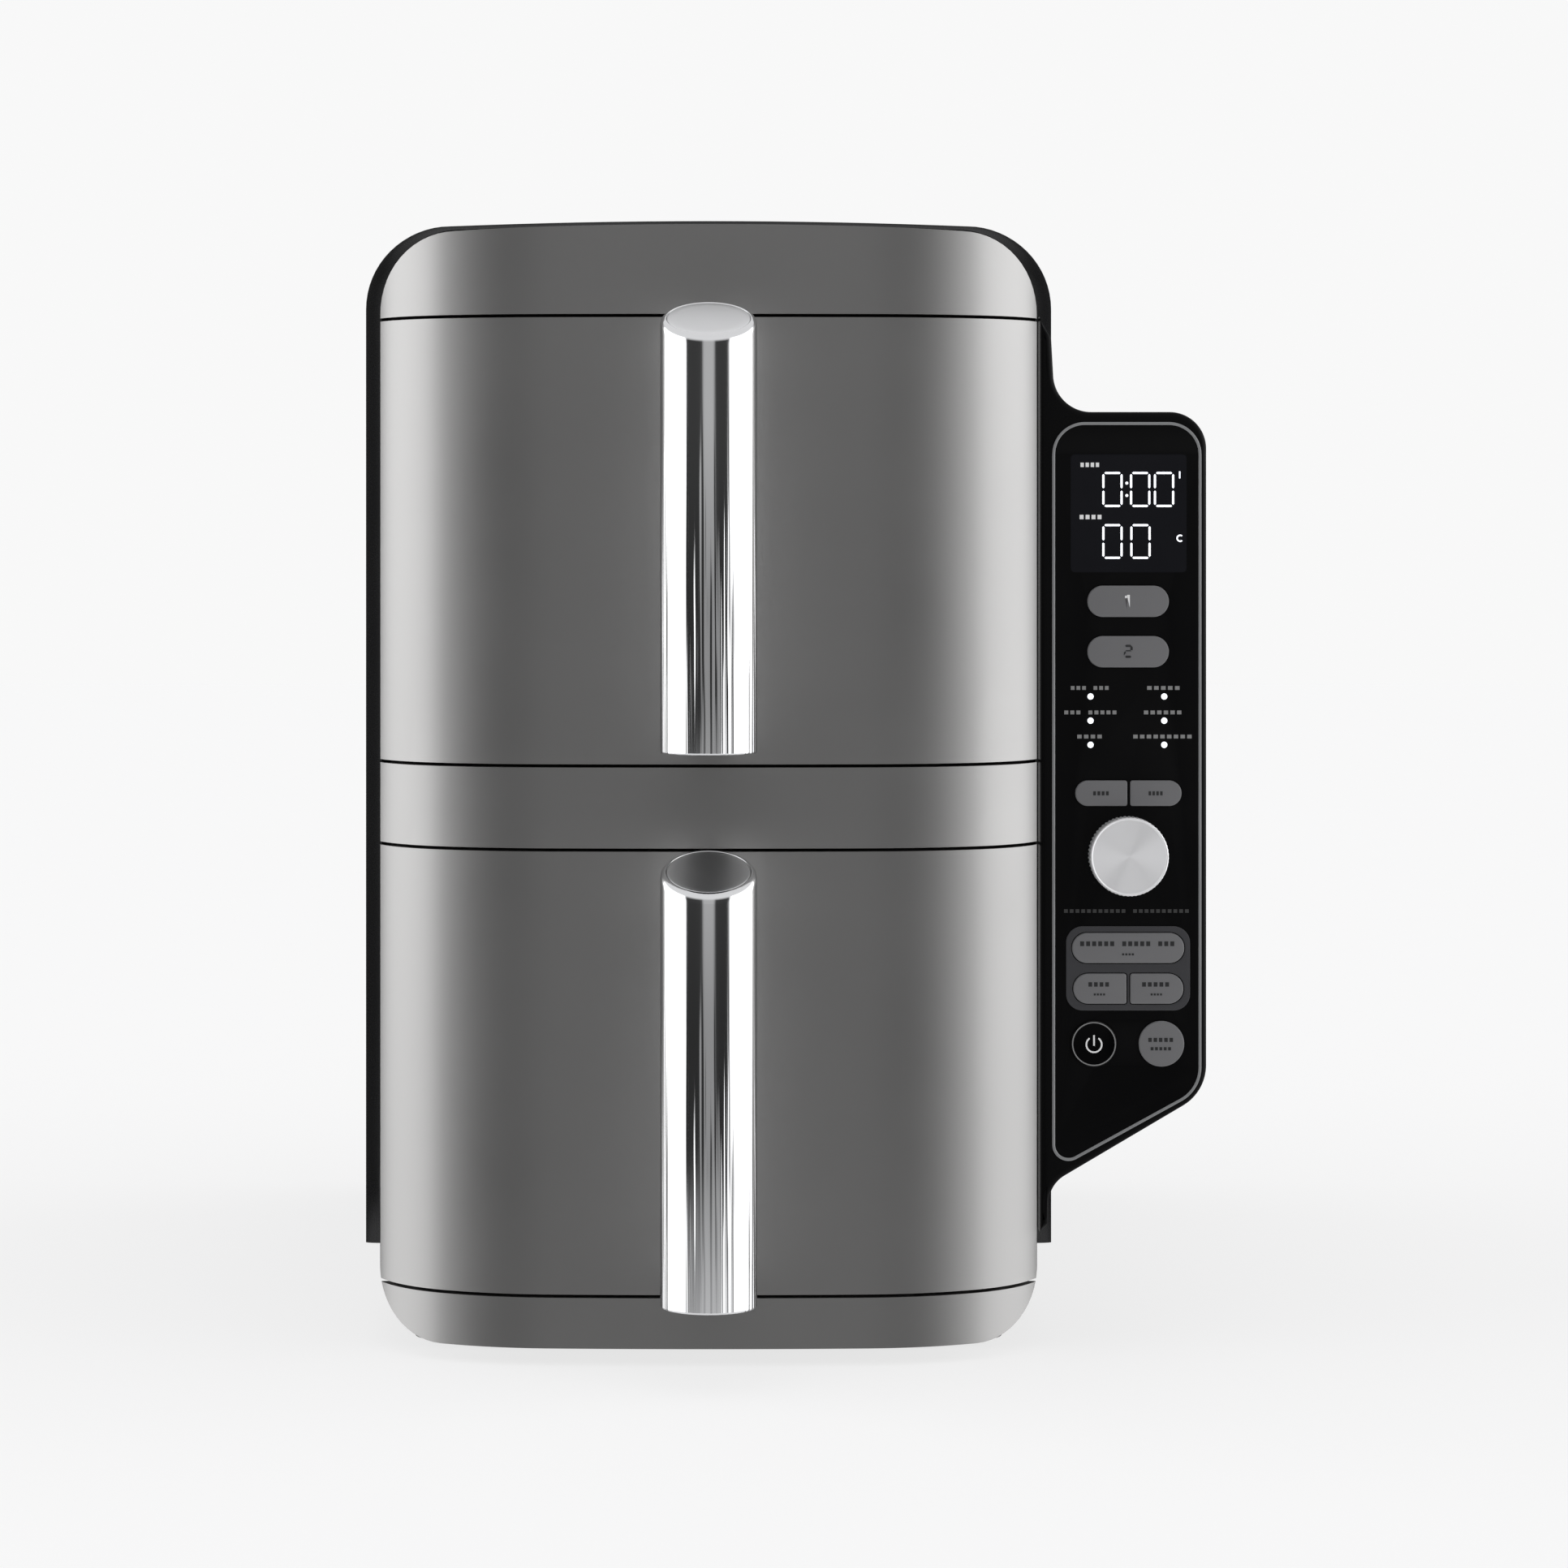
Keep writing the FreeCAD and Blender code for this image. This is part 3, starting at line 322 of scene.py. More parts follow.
def form_mesh(form, name):
    """The mesh of a finished form, with doubled points joined and every face turned outwards."""
    bmesh.ops.remove_doubles(form, verts=form.verts, dist=1e-6)
    bmesh.ops.recalc_face_normals(form, faces=form.faces)
    mesh = bpy.data.meshes.new(name)
    form.to_mesh(mesh)
    form.free()
    return mesh


def skin(form, rows, closed=False):
    """Quads between rows of points of equal length; closed also joins each row's ends."""
    lines = [[form.verts.new(point) for point in row] for row in rows]
    for low, high in zip(lines, lines[1:]):
        count = len(low)
        for i in range(count if closed else count - 1):
            form.faces.new((low[i], low[(i + 1) % count], high[(i + 1) % count], high[i]))
    return lines


shell_black = finish("black_shell", (0.005, 0.005, 0.0052), 0.27, specular=0.03, mottle=0.2, unevenness=0.1,
                     rubbed=(0.03, 0.03, 0.031), grain_scale=2600, grain_depth=0.14)
SHELL_HALF, SHELL_TOP, SHELL_LOW, SHELL_REAR = 119.5, 384.2, 30.6, 405.0
SHOULDER, CROWN, SHELL_WALL = 28.0, 1.8, 2.2
# The front edge rolls in over an arc of this radius, from its front end to its full width.
ROLL_RADIUS, ROLL_FRONT, ROLL_DEPTH = 84.0, 33.2, 7.9
ROLL_START, ROLL_STEPS = math.radians(65), 12


def arch_row(half, top, radius, y, low):
    """One cross-section of the shell: up a side, over the rounded shoulders and down again."""
    points = [(-half, low + (top - radius - low) * i / 12) for i in range(12)]
    for i in range(17):
        angle = math.pi - math.pi / 2 * i / 16
        points.append((radius - half + radius * math.cos(angle), top - radius + radius * math.sin(angle)))
    points += [((half - radius) * (i / 8), top + CROWN * (1 - (i / 8) ** 2)) for i in range(-7, 8)]
    mirrored = [(-x, z) for x, z in reversed(points[:29])]
    return [at(x, y, z) for x, z in points + mirrored]


# The flange that turns in behind the grey front, then the rolled edge, the sides and the back rim.
rows = [arch_row(104.5, 377.7, 24, 46, 40), arch_row(107.5, 378.4, 26, 38, 38),
        arch_row(110.2, 380.4, 27, 33.6, 36.6)]
for i in range(ROLL_STEPS + 1):
    along = i / ROLL_STEPS
    angle = ROLL_START + (math.pi / 2 - ROLL_START) * along
    out = (math.sin(angle) - math.sin(ROLL_START)) / (1 - math.sin(ROLL_START))
    drop = 2.2 * (1 - min(1, 2 * along)) ** 2
    y = ROLL_FRONT + ROLL_RADIUS * (math.cos(ROLL_START) - math.cos(angle))
    rows.append(arch_row(SHELL_HALF - ROLL_DEPTH * (1 - out), SHELL_TOP - drop, SHOULDER - 1.5 * (1 - out), y,
                         SHELL_LOW + 5.4 * (1 - along)))
for y in (120, 200, 280, 350, SHELL_REAR - 0.8):
    rows.append(arch_row(SHELL_HALF, SHELL_TOP, SHOULDER, y, SHELL_LOW))
rows.append(arch_row(SHELL_HALF - 0.5, SHELL_TOP - 0.5, SHOULDER - 0.5, SHELL_REAR, SHELL_LOW))
form = bmesh.new()
skin(form, rows)
shell = piece("shell_skin", form_mesh(form, "shell"), shell_black, "casing", "black_shell", "outer_shell",
              sharp=50)
wall = shell.modifiers.new("wall", "SOLIDIFY")
wall.thickness = SHELL_WALL * MM
wall.offset = -1
dress(shell_black, "rear_cover", "wing_back")

# ---------------------------------------------------------------------------------------------
# The grey front. Five pressed sections of steel with a satin metallic lacquer share one bowed
# face, with fine shadow gaps where the drawers part from the fixed bands.
# ---------------------------------------------------------------------------------------------
satin_grey = finish("satin_metallic_grey", (0.335, 0.332, 0.327), 0.43, metallic=1, mottle=0.03,
                    unevenness=0.05, rubbing=0.1, grain_scale=3200, grain_depth=0.1)
# In plan the bow is three arcs each side: their radii, and how far the face has turned at their ends.
BOW = [(1140.0, 2.7), (92.0, 25.8), (47.0, 70.0)]
FASCIA_HALF, FASCIA_BACK = 112.2, 34.0


def bow_arcs():
    """Centre, radius and outer limit in x of the three arcs of the front's plan."""
    x, y, radius, turned, arcs = 0.0, BOW[0][0], BOW[0][0], 0.0, []
    for new_radius, degrees in BOW:
        x += math.sin(turned) * (radius - new_radius)
        y -= math.cos(turned) * (radius - new_radius)
        radius, turned = new_radius, math.radians(degrees)
        arcs.append((x, y, radius, x + radius * math.sin(turned)))
    return arcs


ARCS = bow_arcs()


def bow(x):
    """How far the front face lies behind its middle at x."""
    x = abs(x)
    for cx, cy, radius, limit in ARCS:
        if x <= limit + 1e-9:
            break
    return cy - math.sqrt(max(0.0, radius * radius - (x - cx) ** 2))


COLUMNS = [math.sin(math.pi / 2 * (i / 36 - 1)) for i in range(73)]


def front_section(name, node, body, outline):
    """A pressed section of the front. outline lists half width, height and crown from low to high."""
    form = bmesh.new()
    rows = []
    for half, z, crown in outline:
        rows.append([at(u * half, bow(u * half), z + crown * (1 - u * u)) for u in COLUMNS])
    lines = skin(form, rows)
    rim = lines[0] + [row[-1] for row in lines[1:-1]] + lines[-1][::-1] + [row[0] for row in lines[-2:0:-1]]
    back = [form.verts.new((v.co.x, FRONT + FASCIA_BACK * MM, v.co.z)) for v in rim]
    count = len(rim)
    for i in range(count):
        form.faces.new((rim[i], rim[(i + 1) % count], back[(i + 1) % count], back[i]))
    form.faces.new(back[::-1])
    mesh = form_mesh(form, name)
    section = piece(name, mesh, satin_grey, body, "satin_grey", node, sharp=40)
    edge = section.modifiers.new("rolled_edge", "BEVEL")
    edge.width = 0.6 * MM
    edge.segments = 3
    edge.limit_method = "ANGLE"
    edge.angle_limit = math.radians(38)
    edge.harden_normals = False
    return section


def straight(low, high, steps=6):
    """Rows of full width from low to high."""
    return [(FASCIA_HALF, low + (high - low) * i / steps, 0) for i in range(steps + 1)]


BROW_SEAM, BAND_TOP, BAND_LOW, FOOT_SEAM, HALF_GAP = 351.2, 200.7, 172.6, 23.5, 0.55
BROW_TOP, BROW_RADIUS, BROW_CROWN = 379.9, 27.0, 1.8
FOOT_LOW, FOOT_RADIUS, CORNER_STEPS = 6.0, 22.0, 14


def foot_half(z):
    """Half the front's width at height z on its rounded lower corners."""
    return FASCIA_HALF - FOOT_RADIUS + math.sqrt(FOOT_RADIUS ** 2 - (FOOT_LOW + FOOT_RADIUS - z) ** 2)


brow_rows = [(FASCIA_HALF, BROW_SEAM + HALF_GAP, 0), (FASCIA_HALF, BROW_SEAM + 1.2, 0)]
foot_rows = []
for i in range(CORNER_STEPS + 1):
    angle = math.pi / 2 * i / CORNER_STEPS
    inward, outward = 1 - math.cos(angle), 1 - math.sin(angle)
    brow_rows.append((FASCIA_HALF - BROW_RADIUS * inward, BROW_TOP - BROW_RADIUS * outward,
                      BROW_CROWN * (i / CORNER_STEPS) ** 2))
    foot_rows.insert(0, (FASCIA_HALF - FOOT_RADIUS * inward, FOOT_LOW + FOOT_RADIUS * outward, 0))
foot_rows = [row for row in foot_rows if row[1] < FOOT_SEAM - 2 * HALF_GAP]
foot_rows.append((foot_half(FOOT_SEAM - HALF_GAP), FOOT_SEAM - HALF_GAP, 0))
lower_rows = [(foot_half(z), z, 0) for z in (FOOT_SEAM + HALF_GAP, 25, 26.5)]
lower_rows += straight(FOOT_LOW + FOOT_RADIUS, BAND_LOW - HALF_GAP)
front_section("brow", "fascia_top", "casing", brow_rows)
front_section("upper_drawer_skin", "upper_drawer_front", "upper_drawer",
              straight(BAND_TOP + HALF_GAP, BROW_SEAM - HALF_GAP))
front_section("middle_band", "fascia_middle", "casing", straight(BAND_LOW + HALF_GAP, BAND_TOP - HALF_GAP, 2))
front_section("lower_drawer_skin", "lower_drawer_front", "lower_drawer", lower_rows)
front_section("foot_band", "fascia_bottom", "casing", foot_rows)

# ---------------------------------------------------------------------------------------------
# Baskets and crisper plates. Drawn steel with a dark ceramic non-stick coating, a rolled rim and
# rounded corners; each plate sits on four silicone bumpers.
# ---------------------------------------------------------------------------------------------
nonstick = finish("nonstick_coating", (0.03, 0.03, 0.032), 0.36, coat=0.2, coat_roughness=0.3, mottle=0.4,
                  unevenness=0.22, grain_scale=1500, grain_depth=0.3)
dress(nonstick, "upper_basket", "lower_basket", "upper_crisper_plate", "lower_crisper_plate")

# ---------------------------------------------------------------------------------------------
# Handles. A drawn tube, polished and chrome plated, is cut at a slant and closed by a satin disc;
# a black core inside it carries two arms that are screwed to the drawer.
# ---------------------------------------------------------------------------------------------
handle_chrome = finish("polished_chrome", (0.86, 0.865, 0.87), 0.1, metallic=1, mottle=0.01, unevenness=0.03)


def drawn_lines():
    """Drawing marks along a tube, stronger towards its lower end, as a node group with one normal."""
    tree = bpy.data.node_groups.new("drawn_lines", "ShaderNodeTree")
    tree.interface.new_socket("Normal", in_out="OUTPUT", socket_type="NodeSocketVector")
    made = add(tree, "NodeGroupOutput")
    place = add(tree, "ShaderNodeTexCoord")
    along = add(tree, "ShaderNodeSeparateXYZ")
    drawn = add(tree, "ShaderNodeVectorMath", operation="MULTIPLY", inputs={1: (1, 1, 0.012)})
    marks = add(tree, "ShaderNodeTexNoise", inputs={"Scale": 330.0, "Detail": 2.5, "Roughness": 0.55})
    wear = add(tree, "ShaderNodeMapRange", interpolation_type="SMOOTHSTEP",
               inputs={"From Min": 0.035, "From Max": 0.12, "To Min": 1.0, "To Max": 0.06})
    bump = add(tree, "ShaderNodeBump", inputs={"Distance": 0.0008})
    join(tree, (place.outputs["Object"], drawn.inputs[0]), (place.outputs["Object"], along.inputs[0]),
         (drawn.outputs[0], marks.inputs["Vector"]), (along.outputs["Z"], wear.inputs["Value"]),
         (wear.outputs[0], bump.inputs["Strength"]), (marks.outputs[0], bump.inputs["Height"]),
         (bump.outputs[0], made.inputs["Normal"]))
    return tree


lines_group = add(handle_chrome.node_tree, "ShaderNodeGroup", node_tree=drawn_lines())
join(handle_chrome.node_tree,
     (lines_group.outputs["Normal"], handle_chrome.node_tree.nodes["Principled BSDF"].inputs["Normal"]))
cap_satin = finish("satin_chrome", (0.88, 0.885, 0.89), 0.3, metallic=1, mottle=0.03, unevenness=0.08,
                   grain_scale=2500, grain_depth=0.05, stretch=(0.1, 1, 1))
HANDLE_RADIUS, HANDLE_AXIS, HANDLE_LENGTH = 15.75, -39.25, 148.0
SLANT = math.tan(math.radians(22.4))
HANDLE_STEPS = 96


def slanted_ring(radius, low, middle, drop, flat):
    """A ring round the handle's axis; flat rings are level at low, others lie drop under the slanted top."""
    points = []
    for i in range(HANDLE_STEPS):
        angle = 2 * math.pi * i / HANDLE_STEPS
        x, y = radius * math.cos(angle), radius * math.sin(angle)
        points.append(at(x, HANDLE_AXIS + y, low if flat else middle + y * SLANT - drop))
    return points


# The tube's open foot as radius and lift, its rounded rim and bore as radius and drop, and its cap.
TUBE_FOOT = [(13.7, 6), (14.1, 0.3), (14.4, 0), (15.2, 0), (15.6, 0.2), (15.75, 0.7)]
TUBE_RIM = [(15.75, 2.9), (15.72, 2.2), (15.6, 1.5), (15.35, 0.95), (14.95, 0.5), (14.45, 0.18),
            (13.95, 0.02), (13.75, 0.1), (13.7, 0.5), (13.7, 9)]
CAP_DISC = [(13.2, 3.05), (13.6, 2.8), (13.64, 0.3), (13.5, 0.14), (13.1, 0.08), (11, 0.08), (6, 0.08),
            (2, 0.08)]
for level, low in (("upper", 207.1), ("lower", 27.2)):
    middle = low + HANDLE_LENGTH - HANDLE_RADIUS * SLANT
    form = bmesh.new()
    foot = [slanted_ring(radius, low + lift, middle, 0, True) for radius, lift in TUBE_FOOT]
    rim = [slanted_ring(radius, 0, middle, drop, False) for radius, drop in TUBE_RIM]
    skin(form, foot + rim, closed=True)
    tube = piece(f"{level}_grip_tube", form_mesh(form, "tube"), handle_chrome, f"{level}_drawer",
                 "handle_chrome", f"{level}_handle_tube", sharp=60)
    base = at(0, HANDLE_AXIS, low)
    tube.data.transform(Matrix.Translation(-base))
    tube.location = base
    form = bmesh.new()
    disc = [slanted_ring(radius, 0, middle, drop, False) for radius, drop in CAP_DISC]
    lines = skin(form, disc, closed=True)
    form.faces.new(lines[-1])
    form.faces.new(lines[0][::-1])
    piece(f"{level}_grip_cap", form_mesh(form, "cap"), cap_satin, f"{level}_drawer", "cap_satin",
          f"{level}_handle_cap", sharp=60)


# ---------------------------------------------------------------------------------------------
# Control wing. A black moulding that stands out from the right-hand side, rounded at the top and
# sloped back to the body below, with a light metallic line round a gloss black panel.
# ---------------------------------------------------------------------------------------------
def round_outline(corners, step=6):
    """The points of a closed outline from corners (x, z, radius), each corner rounded in steps of degrees."""
    points = []
    count = len(corners)
    for i, (x, z, radius) in enumerate(corners):
        here = Vector((x, z))
        back = (Vector(corners[i - 1][:2]) - here).normalized()
        ahead = (Vector(corners[(i + 1) % count][:2]) - here).normalized()
        if not radius:
            points.append(here)
            continue
        half = back.angle(ahead) / 2
        trim = radius / math.tan(half)
        centre = here + (back + ahead).normalized() * radius / math.sin(half)
        first, last = here + back * trim - centre, here + ahead * trim - centre
        swing = math.pi - 2 * half
        steps = max(2, round(math.degrees(swing) / step))
        side = 1 if first.x * last.y - first.y * last.x > 0 else -1
        for j in range(steps + 1):
            angle = math.atan2(first.y, first.x) + side * swing * j / steps
            points.append(centre + Vector((math.cos(angle), math.sin(angle))) * radius)
    return points


def slab(outlines, front, back, edge=0.0):
    """A flat moulding between two depths over closed outlines, holes included, with rounded edges."""
    curve = bpy.data.curves.new("slab", "CURVE")
    curve.dimensions = "2D"
    curve.fill_mode = "BOTH"
    curve.extrude = ((back - front) / 2 - edge) * MM
    curve.bevel_depth = edge * MM
    curve.bevel_resolution = 3
    curve.offset = -edge * MM
    for outline in outlines:
        spline = curve.splines.new("POLY")
        spline.points.add(len(outline) - 1)
        for point, (x, z) in zip(spline.points, outline):
            point.co = (x * MM, z * MM, 0, 1)
        spline.use_cyclic_u = True
    holder = bpy.data.objects.new("slab", curve)
    mesh = bpy.data.meshes.new_from_object(holder)
    bpy.data.objects.remove(holder)
    stand = Matrix.Translation(at(0, (front + back) / 2, 0)) @ Matrix.Rotation(math.pi / 2, 4, "X")
    mesh.transform(stand)
    form = bmesh.new()
    form.from_mesh(mesh)
    return form_mesh(form, "slab")


def ring_outline(x, z, radius, steps=64):
    """A full circle about x, z."""
    turns = [2 * math.pi * i / steps for i in range(steps)]
    return [Vector((x + radius * math.cos(turn), z + radius * math.sin(turn))) for turn in turns]


def bezel_outline(inset):
    """The metallic line's outer edge, moved in by inset."""
    left, right, top = 116.6 + inset, 167.2 - inset, 316.1 - inset
    return round_outline([(left, 61.6 + 1.75 * inset, max(0.4, 5.5 - inset)),
                          (right, 89.4 + 0.572 * inset, 13 - inset), (right, top, 11 - inset),
                          (left, top, 11 - inset)])


panel_gloss = finish("panel_gloss", (0.0015, 0.0015, 0.0017), 0.08, specular=0.06, mottle=0.1,
                     unevenness=0.03, grain_scale=400, grain_depth=0.004)
bezel_silver = finish("bezel_silver", (0.3, 0.305, 0.31), 0.38, metallic=0.5, mottle=0.03, unevenness=0.05,
                      grain_scale=3000, grain_depth=0.05)
LENS_FRONT, WING_REAR = 24.0, 80.0
wing_corners = [(112.5, 352, 0), (112.5, 41, 0), (115.6, 44, 2), (115.6, 56.9, 11), (169.1, 88.5, 16),
                (169.1, 319.6, 12.4), (117.8, 319.6, 12.9), (116.4, 345, 4)]
piece("wing_moulding", slab([round_outline(wing_corners, 4)], LENS_FRONT, WING_REAR, 2.2), shell_black,
      "casing", "black_shell", "wing_front", sharp=40)
piece("bezel_line", slab([bezel_outline(0), bezel_outline(0.95)], LENS_FRONT - 0.4, LENS_FRONT + 2, 0.2),
      bezel_silver, "casing", "bezel_silver", "panel_bezel")

# Keys: centre x, centre z, width, height, corner rounds left and right.
KEYS = {
    "zone_1_key": (142.3, 255.3, 27.6, 10.6, 5.2, 5.2),
    "zone_2_key": (142.3, 238.2, 27.6, 10.6, 5.2, 5.2),
    "temp_key": (133.2, 190.2, 17.6, 8.6, 4.2, 0.8),
    "time_key": (151.7, 190.2, 17.4, 8.6, 0.8, 4.2),
    "both_key": (142.3, 137.7, 38, 10.2, 5, 5),
    "sync_key": (132.7, 123.9, 18, 10.2, 5, 0.8),
    "match_key": (152, 123.9, 18, 10.2, 0.8, 5),
    "power_key": (130.7, 105.2, 15.4, 15.4, 7.6, 7.6),
    "start_key": (153.6, 105.2, 15.4, 15.4, 7.6, 7.6),
}


def key_outline(x, z, width, height, left, right, grow=0.0):
    """A key's outline; grow widens it all round into the opening that it moves in."""
    x1, x2 = x - width / 2 - grow, x + width / 2 + grow
    z1, z2 = z - height / 2 - grow, z + height / 2 + grow
    return round_outline([(x1, z1, left + grow), (x2, z1, right + grow), (x2, z2, right + grow),
                          (x1, z2, left + grow)])


KEY_GAP = 0.35
windows = [key_outline(*key, grow=KEY_GAP) for key in KEYS.values()]
DIAL_X, DIAL_Z, DIAL_FACE = 142.0, 169.2, LENS_FRONT - 9.4
shaft_hole = ring_outline(DIAL_X, DIAL_Z, 3.4)
piece("panel_glass", slab([bezel_outline(1.0), *windows, shaft_hole], LENS_FRONT - 0.15, LENS_FRONT + 2.2),
      panel_gloss, "casing", "black_gloss", "panel_lens")

# ---------------------------------------------------------------------------------------------
# Keys, dial and display. Keys are double-shot caps in satin grey that press in by a millimetre,
# the dial is a turned aluminium cup, and the display shines through the panel.
# ---------------------------------------------------------------------------------------------
key_grey = finish("key_grey", (0.16, 0.16, 0.165), 0.45, specular=0.3, mottle=0.06, unevenness=0.06,
                  grain_scale=2800, grain_depth=0.1)
key_plate_grey = finish("key_plate_grey", (0.045, 0.045, 0.049), 0.45, specular=0.3, mottle=0.06,
                        unevenness=0.06, grain_scale=2800, grain_depth=0.12)
white_ink = finish("white_ink", (0.8, 0.8, 0.8), 0.5, mottle=0.02, grain_depth=0.02)
faint_ink = finish("faint_ink", (0.2, 0.2, 0.2), 0.5, mottle=0.02, grain_depth=0.02)
dim_ink = finish("dim_ink", (0.04, 0.04, 0.04), 0.5, specular=0.2, mottle=0.02, grain_depth=0.02)
dark_ink = finish("dark_ink", (0.012, 0.012, 0.013), 0.5, mottle=0.02, grain_depth=0.02)
display_light = finish("display_light", (0.9, 0.93, 1.0), 0.5, glow=0.85, mottle=0.02, grain_depth=0.01)
smoked_window = finish("smoked_window", (0.004, 0.0042, 0.0062), 0.06, specular=0.08, mottle=0.05,
                       unevenness=0.02, grain_scale=300, grain_depth=0.002)
GROUP_KEYS = ("both_key", "sync_key", "match_key")
KEY_FRONT = LENS_FRONT - 1.2
for name, key in KEYS.items():
    piece(name.replace("_key", "_cap"), slab([key_outline(*key)], KEY_FRONT, KEY_FRONT + 7.8, 0.45),
          panel_gloss if name == "power_key" else key_grey, name.replace("_key", "_button"), "key_grey", name)
plate_corners = [(121.3, 116.5, 5.5), (163.3, 116.5, 5.5), (163.3, 145, 5.5), (121.3, 145, 5.5)]
plate_windows = [key_outline(*KEYS[name], grow=KEY_GAP) for name in GROUP_KEYS]
plate_slab = slab([round_outline(plate_corners)] + plate_windows, LENS_FRONT - 0.65, LENS_FRONT - 0.1, 0.15)
piece("key_surround", plate_slab, key_plate_grey, "casing", "key_plate_grey", "key_plate")
window_corners = [(122.9, 265.1, 1.5), (162.2, 265.1, 1.5), (162.2, 305.2, 1.5), (122.9, 305.2, 1.5)]
piece("display_window", slab([round_outline(window_corners)], LENS_FRONT - 0.19, LENS_FRONT - 0.1),
      smoked_window, "casing", "black_gloss")


def mark(name, outlines, body="casing", front=LENS_FRONT - 0.24, ink=white_ink, slot="bezel_silver"):
    """Ink or light lying just proud of the surface it is printed on."""
    return piece(name, slab(outlines, front, front + 0.05), ink, body, slot)


def bar(x, z, width, height):
    """An upright rectangle from its lower left corner."""
    return [Vector((x, z)), Vector((x + width, z)), Vector((x + width, z + height)), Vector((x, z + height))]


SEGMENTS = {"0": "abcdef", "2": "abged"}


def digit(x, z, width, height, stroke, shown="0", gap=0.35):
    """The bars of one seven-segment figure whose lower left corner is at x, z."""
    near, far = stroke / 2, width - stroke / 2
    low, middle, high = stroke / 2, height / 2, height - stroke / 2
    bars = {"a": (near, high, far, high), "d": (near, low, far, low), "g": (near, middle, far, middle),
            "b": (far, middle, far, high), "c": (far, low, far, middle),
            "f": (near, middle, near, high), "e": (near, low, near, middle)}
    outlines = []
    for name in SEGMENTS[shown]:
        start, end = Vector(bars[name][:2]), Vector(bars[name][2:])
        along = (end - start).normalized()
        across = Vector((-along.y, along.x)) * stroke / 2
        start, end = start + along * gap, end - along * gap
        tip = along * stroke / 2
        ring = [start, start + tip - across, end - tip - across, end, end - tip + across,
                start + tip + across]
        outlines.append([Vector((x + point.x, z + point.y)) for point in ring])
    return outlines


def words(left, right, z, height, *letters):
    """Small blocks that stand where print is, one for each letter, with a gap between words."""
    unit = (right - left) / (sum(letters) + len(letters) - 1)
    outlines, x = [], left
    for count in letters:
        outlines += [bar(x + unit * i, z - height / 2, unit * 0.66, height) for i in range(count)]
        x += unit * (count + 1)
    return outlines


def arc(x, z, radius, stroke, first, last, steps=36):
    """A bent bar between two bearings in degrees, counted from the right and upwards."""
    turns = [math.radians(first + (last - first) * i / steps) for i in range(steps + 1)]
    outer, inner = [
        [Vector((x + reach * math.cos(turn), z + reach * math.sin(turn))) for turn in turns]
        for reach in (radius + stroke / 2, radius - stroke / 2)]
    return outer + inner[::-1]


time_figures = [side for x in (133.6, 143.0, 151.1) for side in digit(x, 287.3, 6.9, 11.9, 0.72)]
time_figures += [ring_outline(141.9, z, 0.5, 16) for z in (291.2, 295.4)] + [bar(159.6, 297.0, 0.5, 2.4)]
heat_figures = [side for x in (133.6, 143.1) for side in digit(x, 269.7, 6.9, 11.8, 0.72)]
heat_figures += [arc(160.0, 276.7, 1.0, 0.5, 50, 310)]
mark("time_figures", time_figures, ink=display_light)
mark("heat_figures", heat_figures, ink=display_light)
mark("display_legends", words(126.2, 133.1, 301.6, 1.5, 4) + words(125.9, 134.0, 283.9, 1.5, 4))
mark("lamps", [ring_outline(x, z, 1.05, 24) for x in (129.6, 154.6) for z in (223.0, 214.8, 206.6)],
     ink=display_light, front=LENS_FRONT - 0.3)
mark("mode_legends",
     words(122.9, 136.4, 225.9, 1.3, 3, 3) + words(148.8, 160.6, 225.9, 1.3, 5)
     + words(120.7, 139.1, 217.6, 1.3, 3, 5) + words(147.7, 161.2, 217.6, 1.3, 6)
     + words(125.1, 134.2, 209.4, 1.3, 4) + words(144.1, 164.7, 209.4, 1.3, 9), ink=faint_ink)
mark("technology_legend", words(120.6, 163.6, 150.2, 1.2, 11, 10), ink=dim_ink)

# Legends on the keys: a figure for each drawer, dashes for the small print and the power sign.
CAP_INK = KEY_FRONT - 0.05
PRINT = {
    "zone_1": ([bar(141.9, 253.1, 0.95, 4.4), bar(141.2, 256.4, 0.72, 0.8)], white_ink),
    "zone_2": (digit(140.8, 236.1, 3.0, 4.5, 0.8, "2", 0.0), dark_ink),
    "temp": (words(130.4, 136.2, 190.2, 1.4, 4), dark_ink),
    "time": (words(149.2, 154.4, 190.2, 1.4, 4), dark_ink),
    "both": (words(126.0, 158.6, 139.2, 1.6, 6, 5, 3) + words(140.2, 144.6, 135.6, 0.7, 4), dark_ink),
    "sync": (words(128.8, 136.4, 125.4, 1.5, 4) + words(130.6, 134.8, 122.0, 0.7, 4), dark_ink),
    "match": (words(147.0, 156.8, 125.4, 1.5, 5) + words(149.9, 154.1, 122.0, 0.7, 4), dark_ink),
    "power": ([arc(130.7, 105.0, 2.6, 0.55, 125, 415), bar(130.42, 104.6, 0.55, 3.6)], white_ink),
    "start": (words(149.1, 158.1, 106.6, 1.4, 5) + words(149.9, 157.3, 103.6, 1.1, 5), dark_ink),
}
for name, (outlines, ink) in PRINT.items():
    mark(f"{name}_print", outlines, f"{name}_button", CAP_INK, ink, "key_grey")
ring_sign = slab([ring_outline(130.7, 105.2, 7.45), ring_outline(130.7, 105.2, 7.05)], CAP_INK, KEY_FRONT)
piece("power_ring", ring_sign, faint_ink, "power_button", "key_grey")
dress(display_light, "light_pipes")

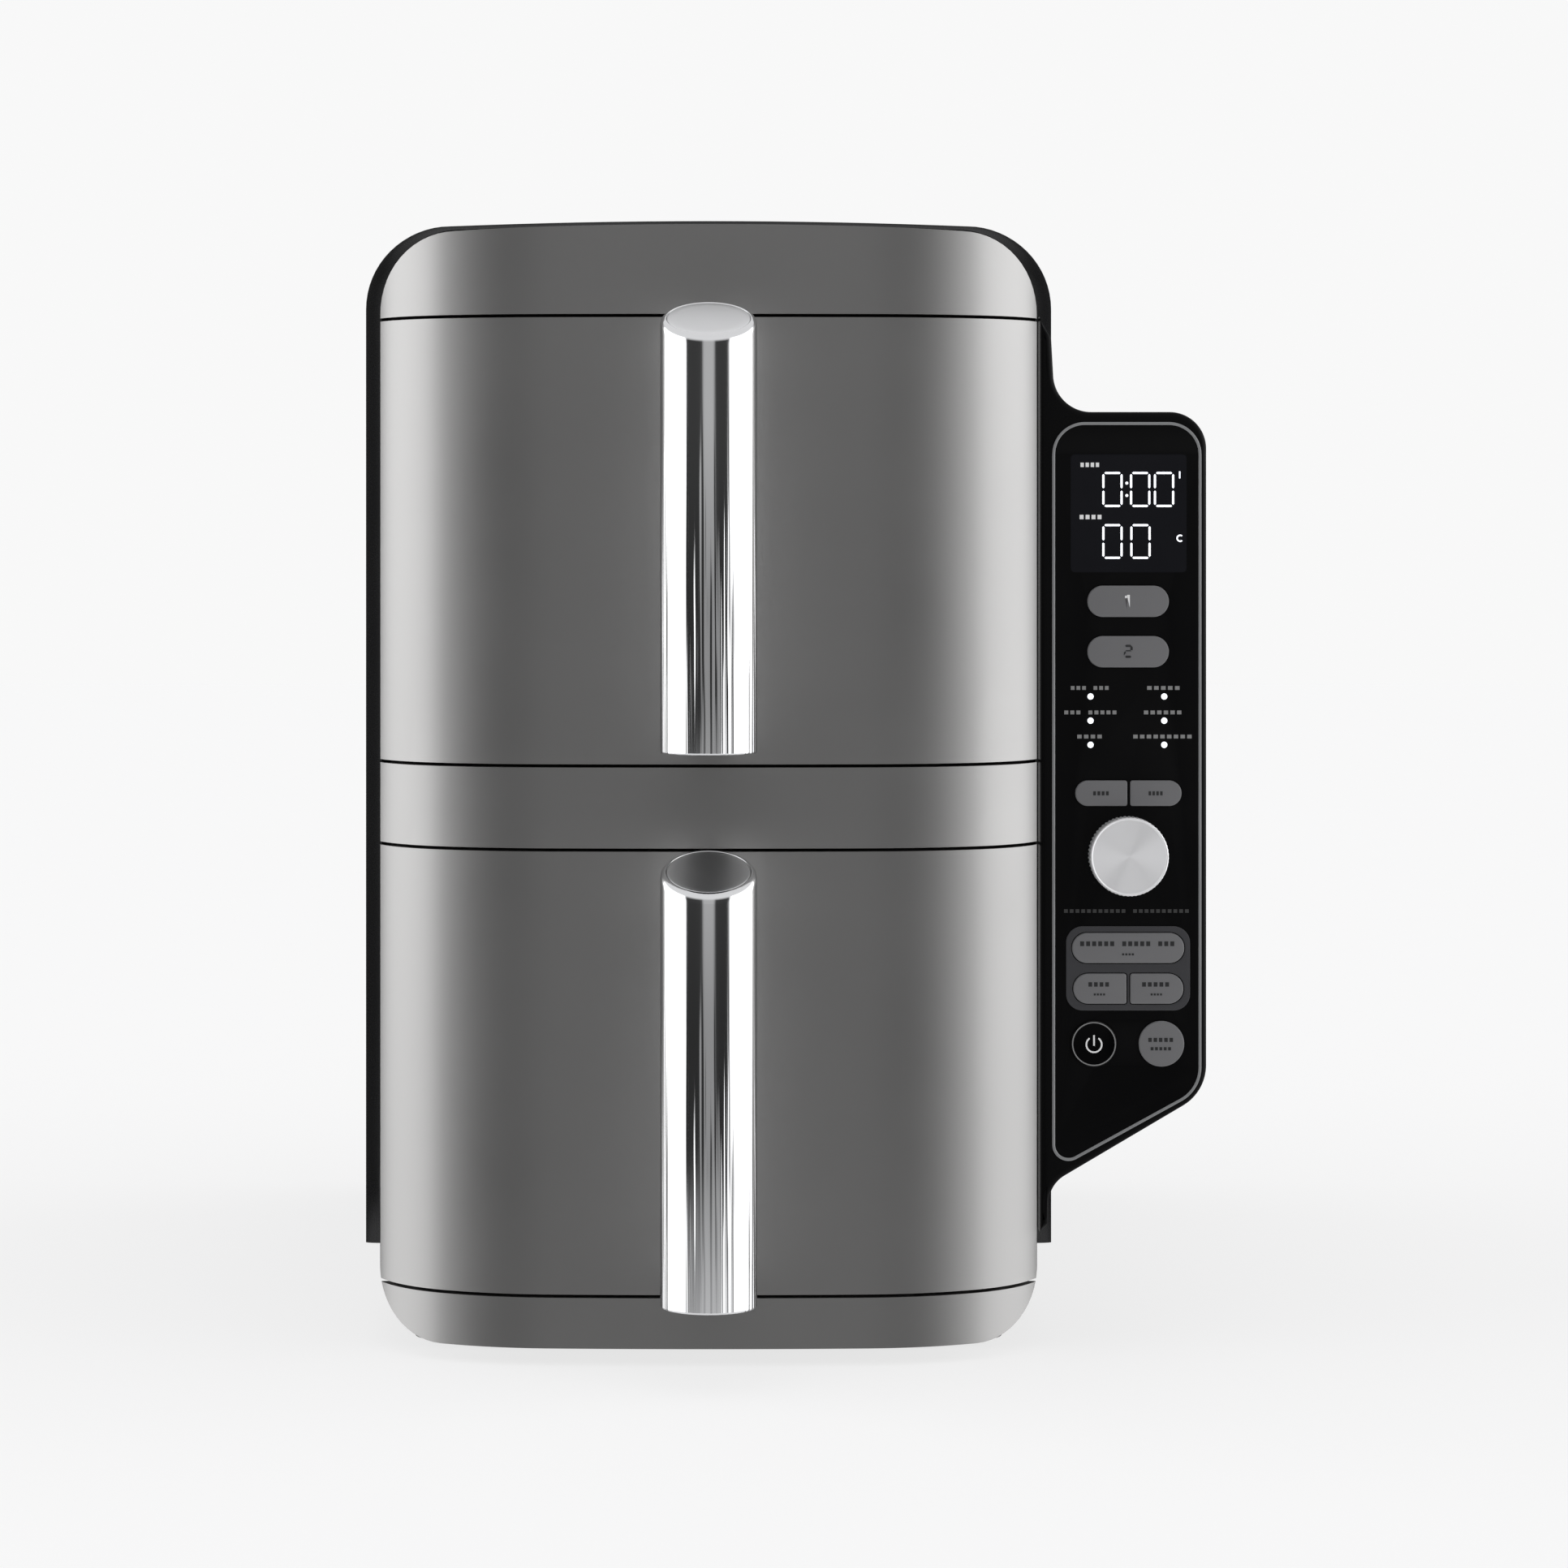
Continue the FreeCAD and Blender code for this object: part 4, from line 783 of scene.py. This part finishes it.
# The dial is turned from aluminium bar: a fine-milled grip, a bright chamfer and a spun face.
dial_metal = finish("spun_aluminium", (0.94, 0.94, 0.95), 0.42, metallic=0.55, mottle=0.02, unevenness=0.05,
                    grain_scale=1500, grain_depth=0.03, anisotropy=0.95)
tangent = add(dial_metal.node_tree, "ShaderNodeTangent", direction_type="RADIAL", axis="Y")
dial_shader = dial_metal.node_tree.nodes["Principled BSDF"]
join(dial_metal.node_tree, (tangent.outputs[0], dial_shader.inputs["Tangent"]))
# Radius and depth from the stem at the back round to the middle of the face; the grip is milled.
DIAL_PROFILE = [(3.0, 19), (3.0, 9.1), (12.7, 9.0), (13.3, 8.6), (13.4, 1.2), (13.2, 0.45), (12.9, 0.1),
                (12.7, 0.12), (12.4, 0.35), (7, 0.5), (3, 0.55), (0.8, 0.56)]
GRIP_RINGS, GRIP_STEPS, GRIP_DEPTH = (3, 4), 240, 0.28
form = bmesh.new()
rows = []
for number, (radius, depth) in enumerate(DIAL_PROFILE):
    ring = []
    for i in range(GRIP_STEPS):
        angle = 2 * math.pi * i / GRIP_STEPS
        milled = radius - (GRIP_DEPTH if i % 4 < 2 and number in GRIP_RINGS else 0)
        ring.append(Vector((milled * math.cos(angle) * MM, depth * MM, milled * math.sin(angle) * MM)))
    rows.append(ring)
lines = skin(form, rows, closed=True)
form.faces.new(lines[-1])
form.faces.new(lines[0][::-1])
knob = piece("dial_cup", form_mesh(form, "dial"), dial_metal, "dial", "dial_metal", "dial_knob", sharp=35)
knob.location = at(DIAL_X, DIAL_FACE, DIAL_Z)

# ---------------------------------------------------------------------------------------------
# The wing's place in the light. It is left out of what other parts mirror, so that the grey
# front's right-hand edge mirrors the soft light just as its left-hand edge does.
# ---------------------------------------------------------------------------------------------
FLAGGED = {"wing_moulding", "bezel_line", "panel_glass", "key_surround", "display_window", "dial_cup",
           "power_ring"}
FLAGGED |= {name.replace("_key", "_cap") for name in KEYS} | {f"{name}_print" for name in PRINT}
BEHIND_THE_PANEL = ("wing_back", "control_board", "display_module", "light_pipes", "dial_encoder")
FLAGGED |= {frame["nodes"][name].name for name in BEHIND_THE_PANEL}
for thing in scene.objects:
    if thing.type == "MESH" and thing.name in FLAGGED:
        thing.visible_glossy = False
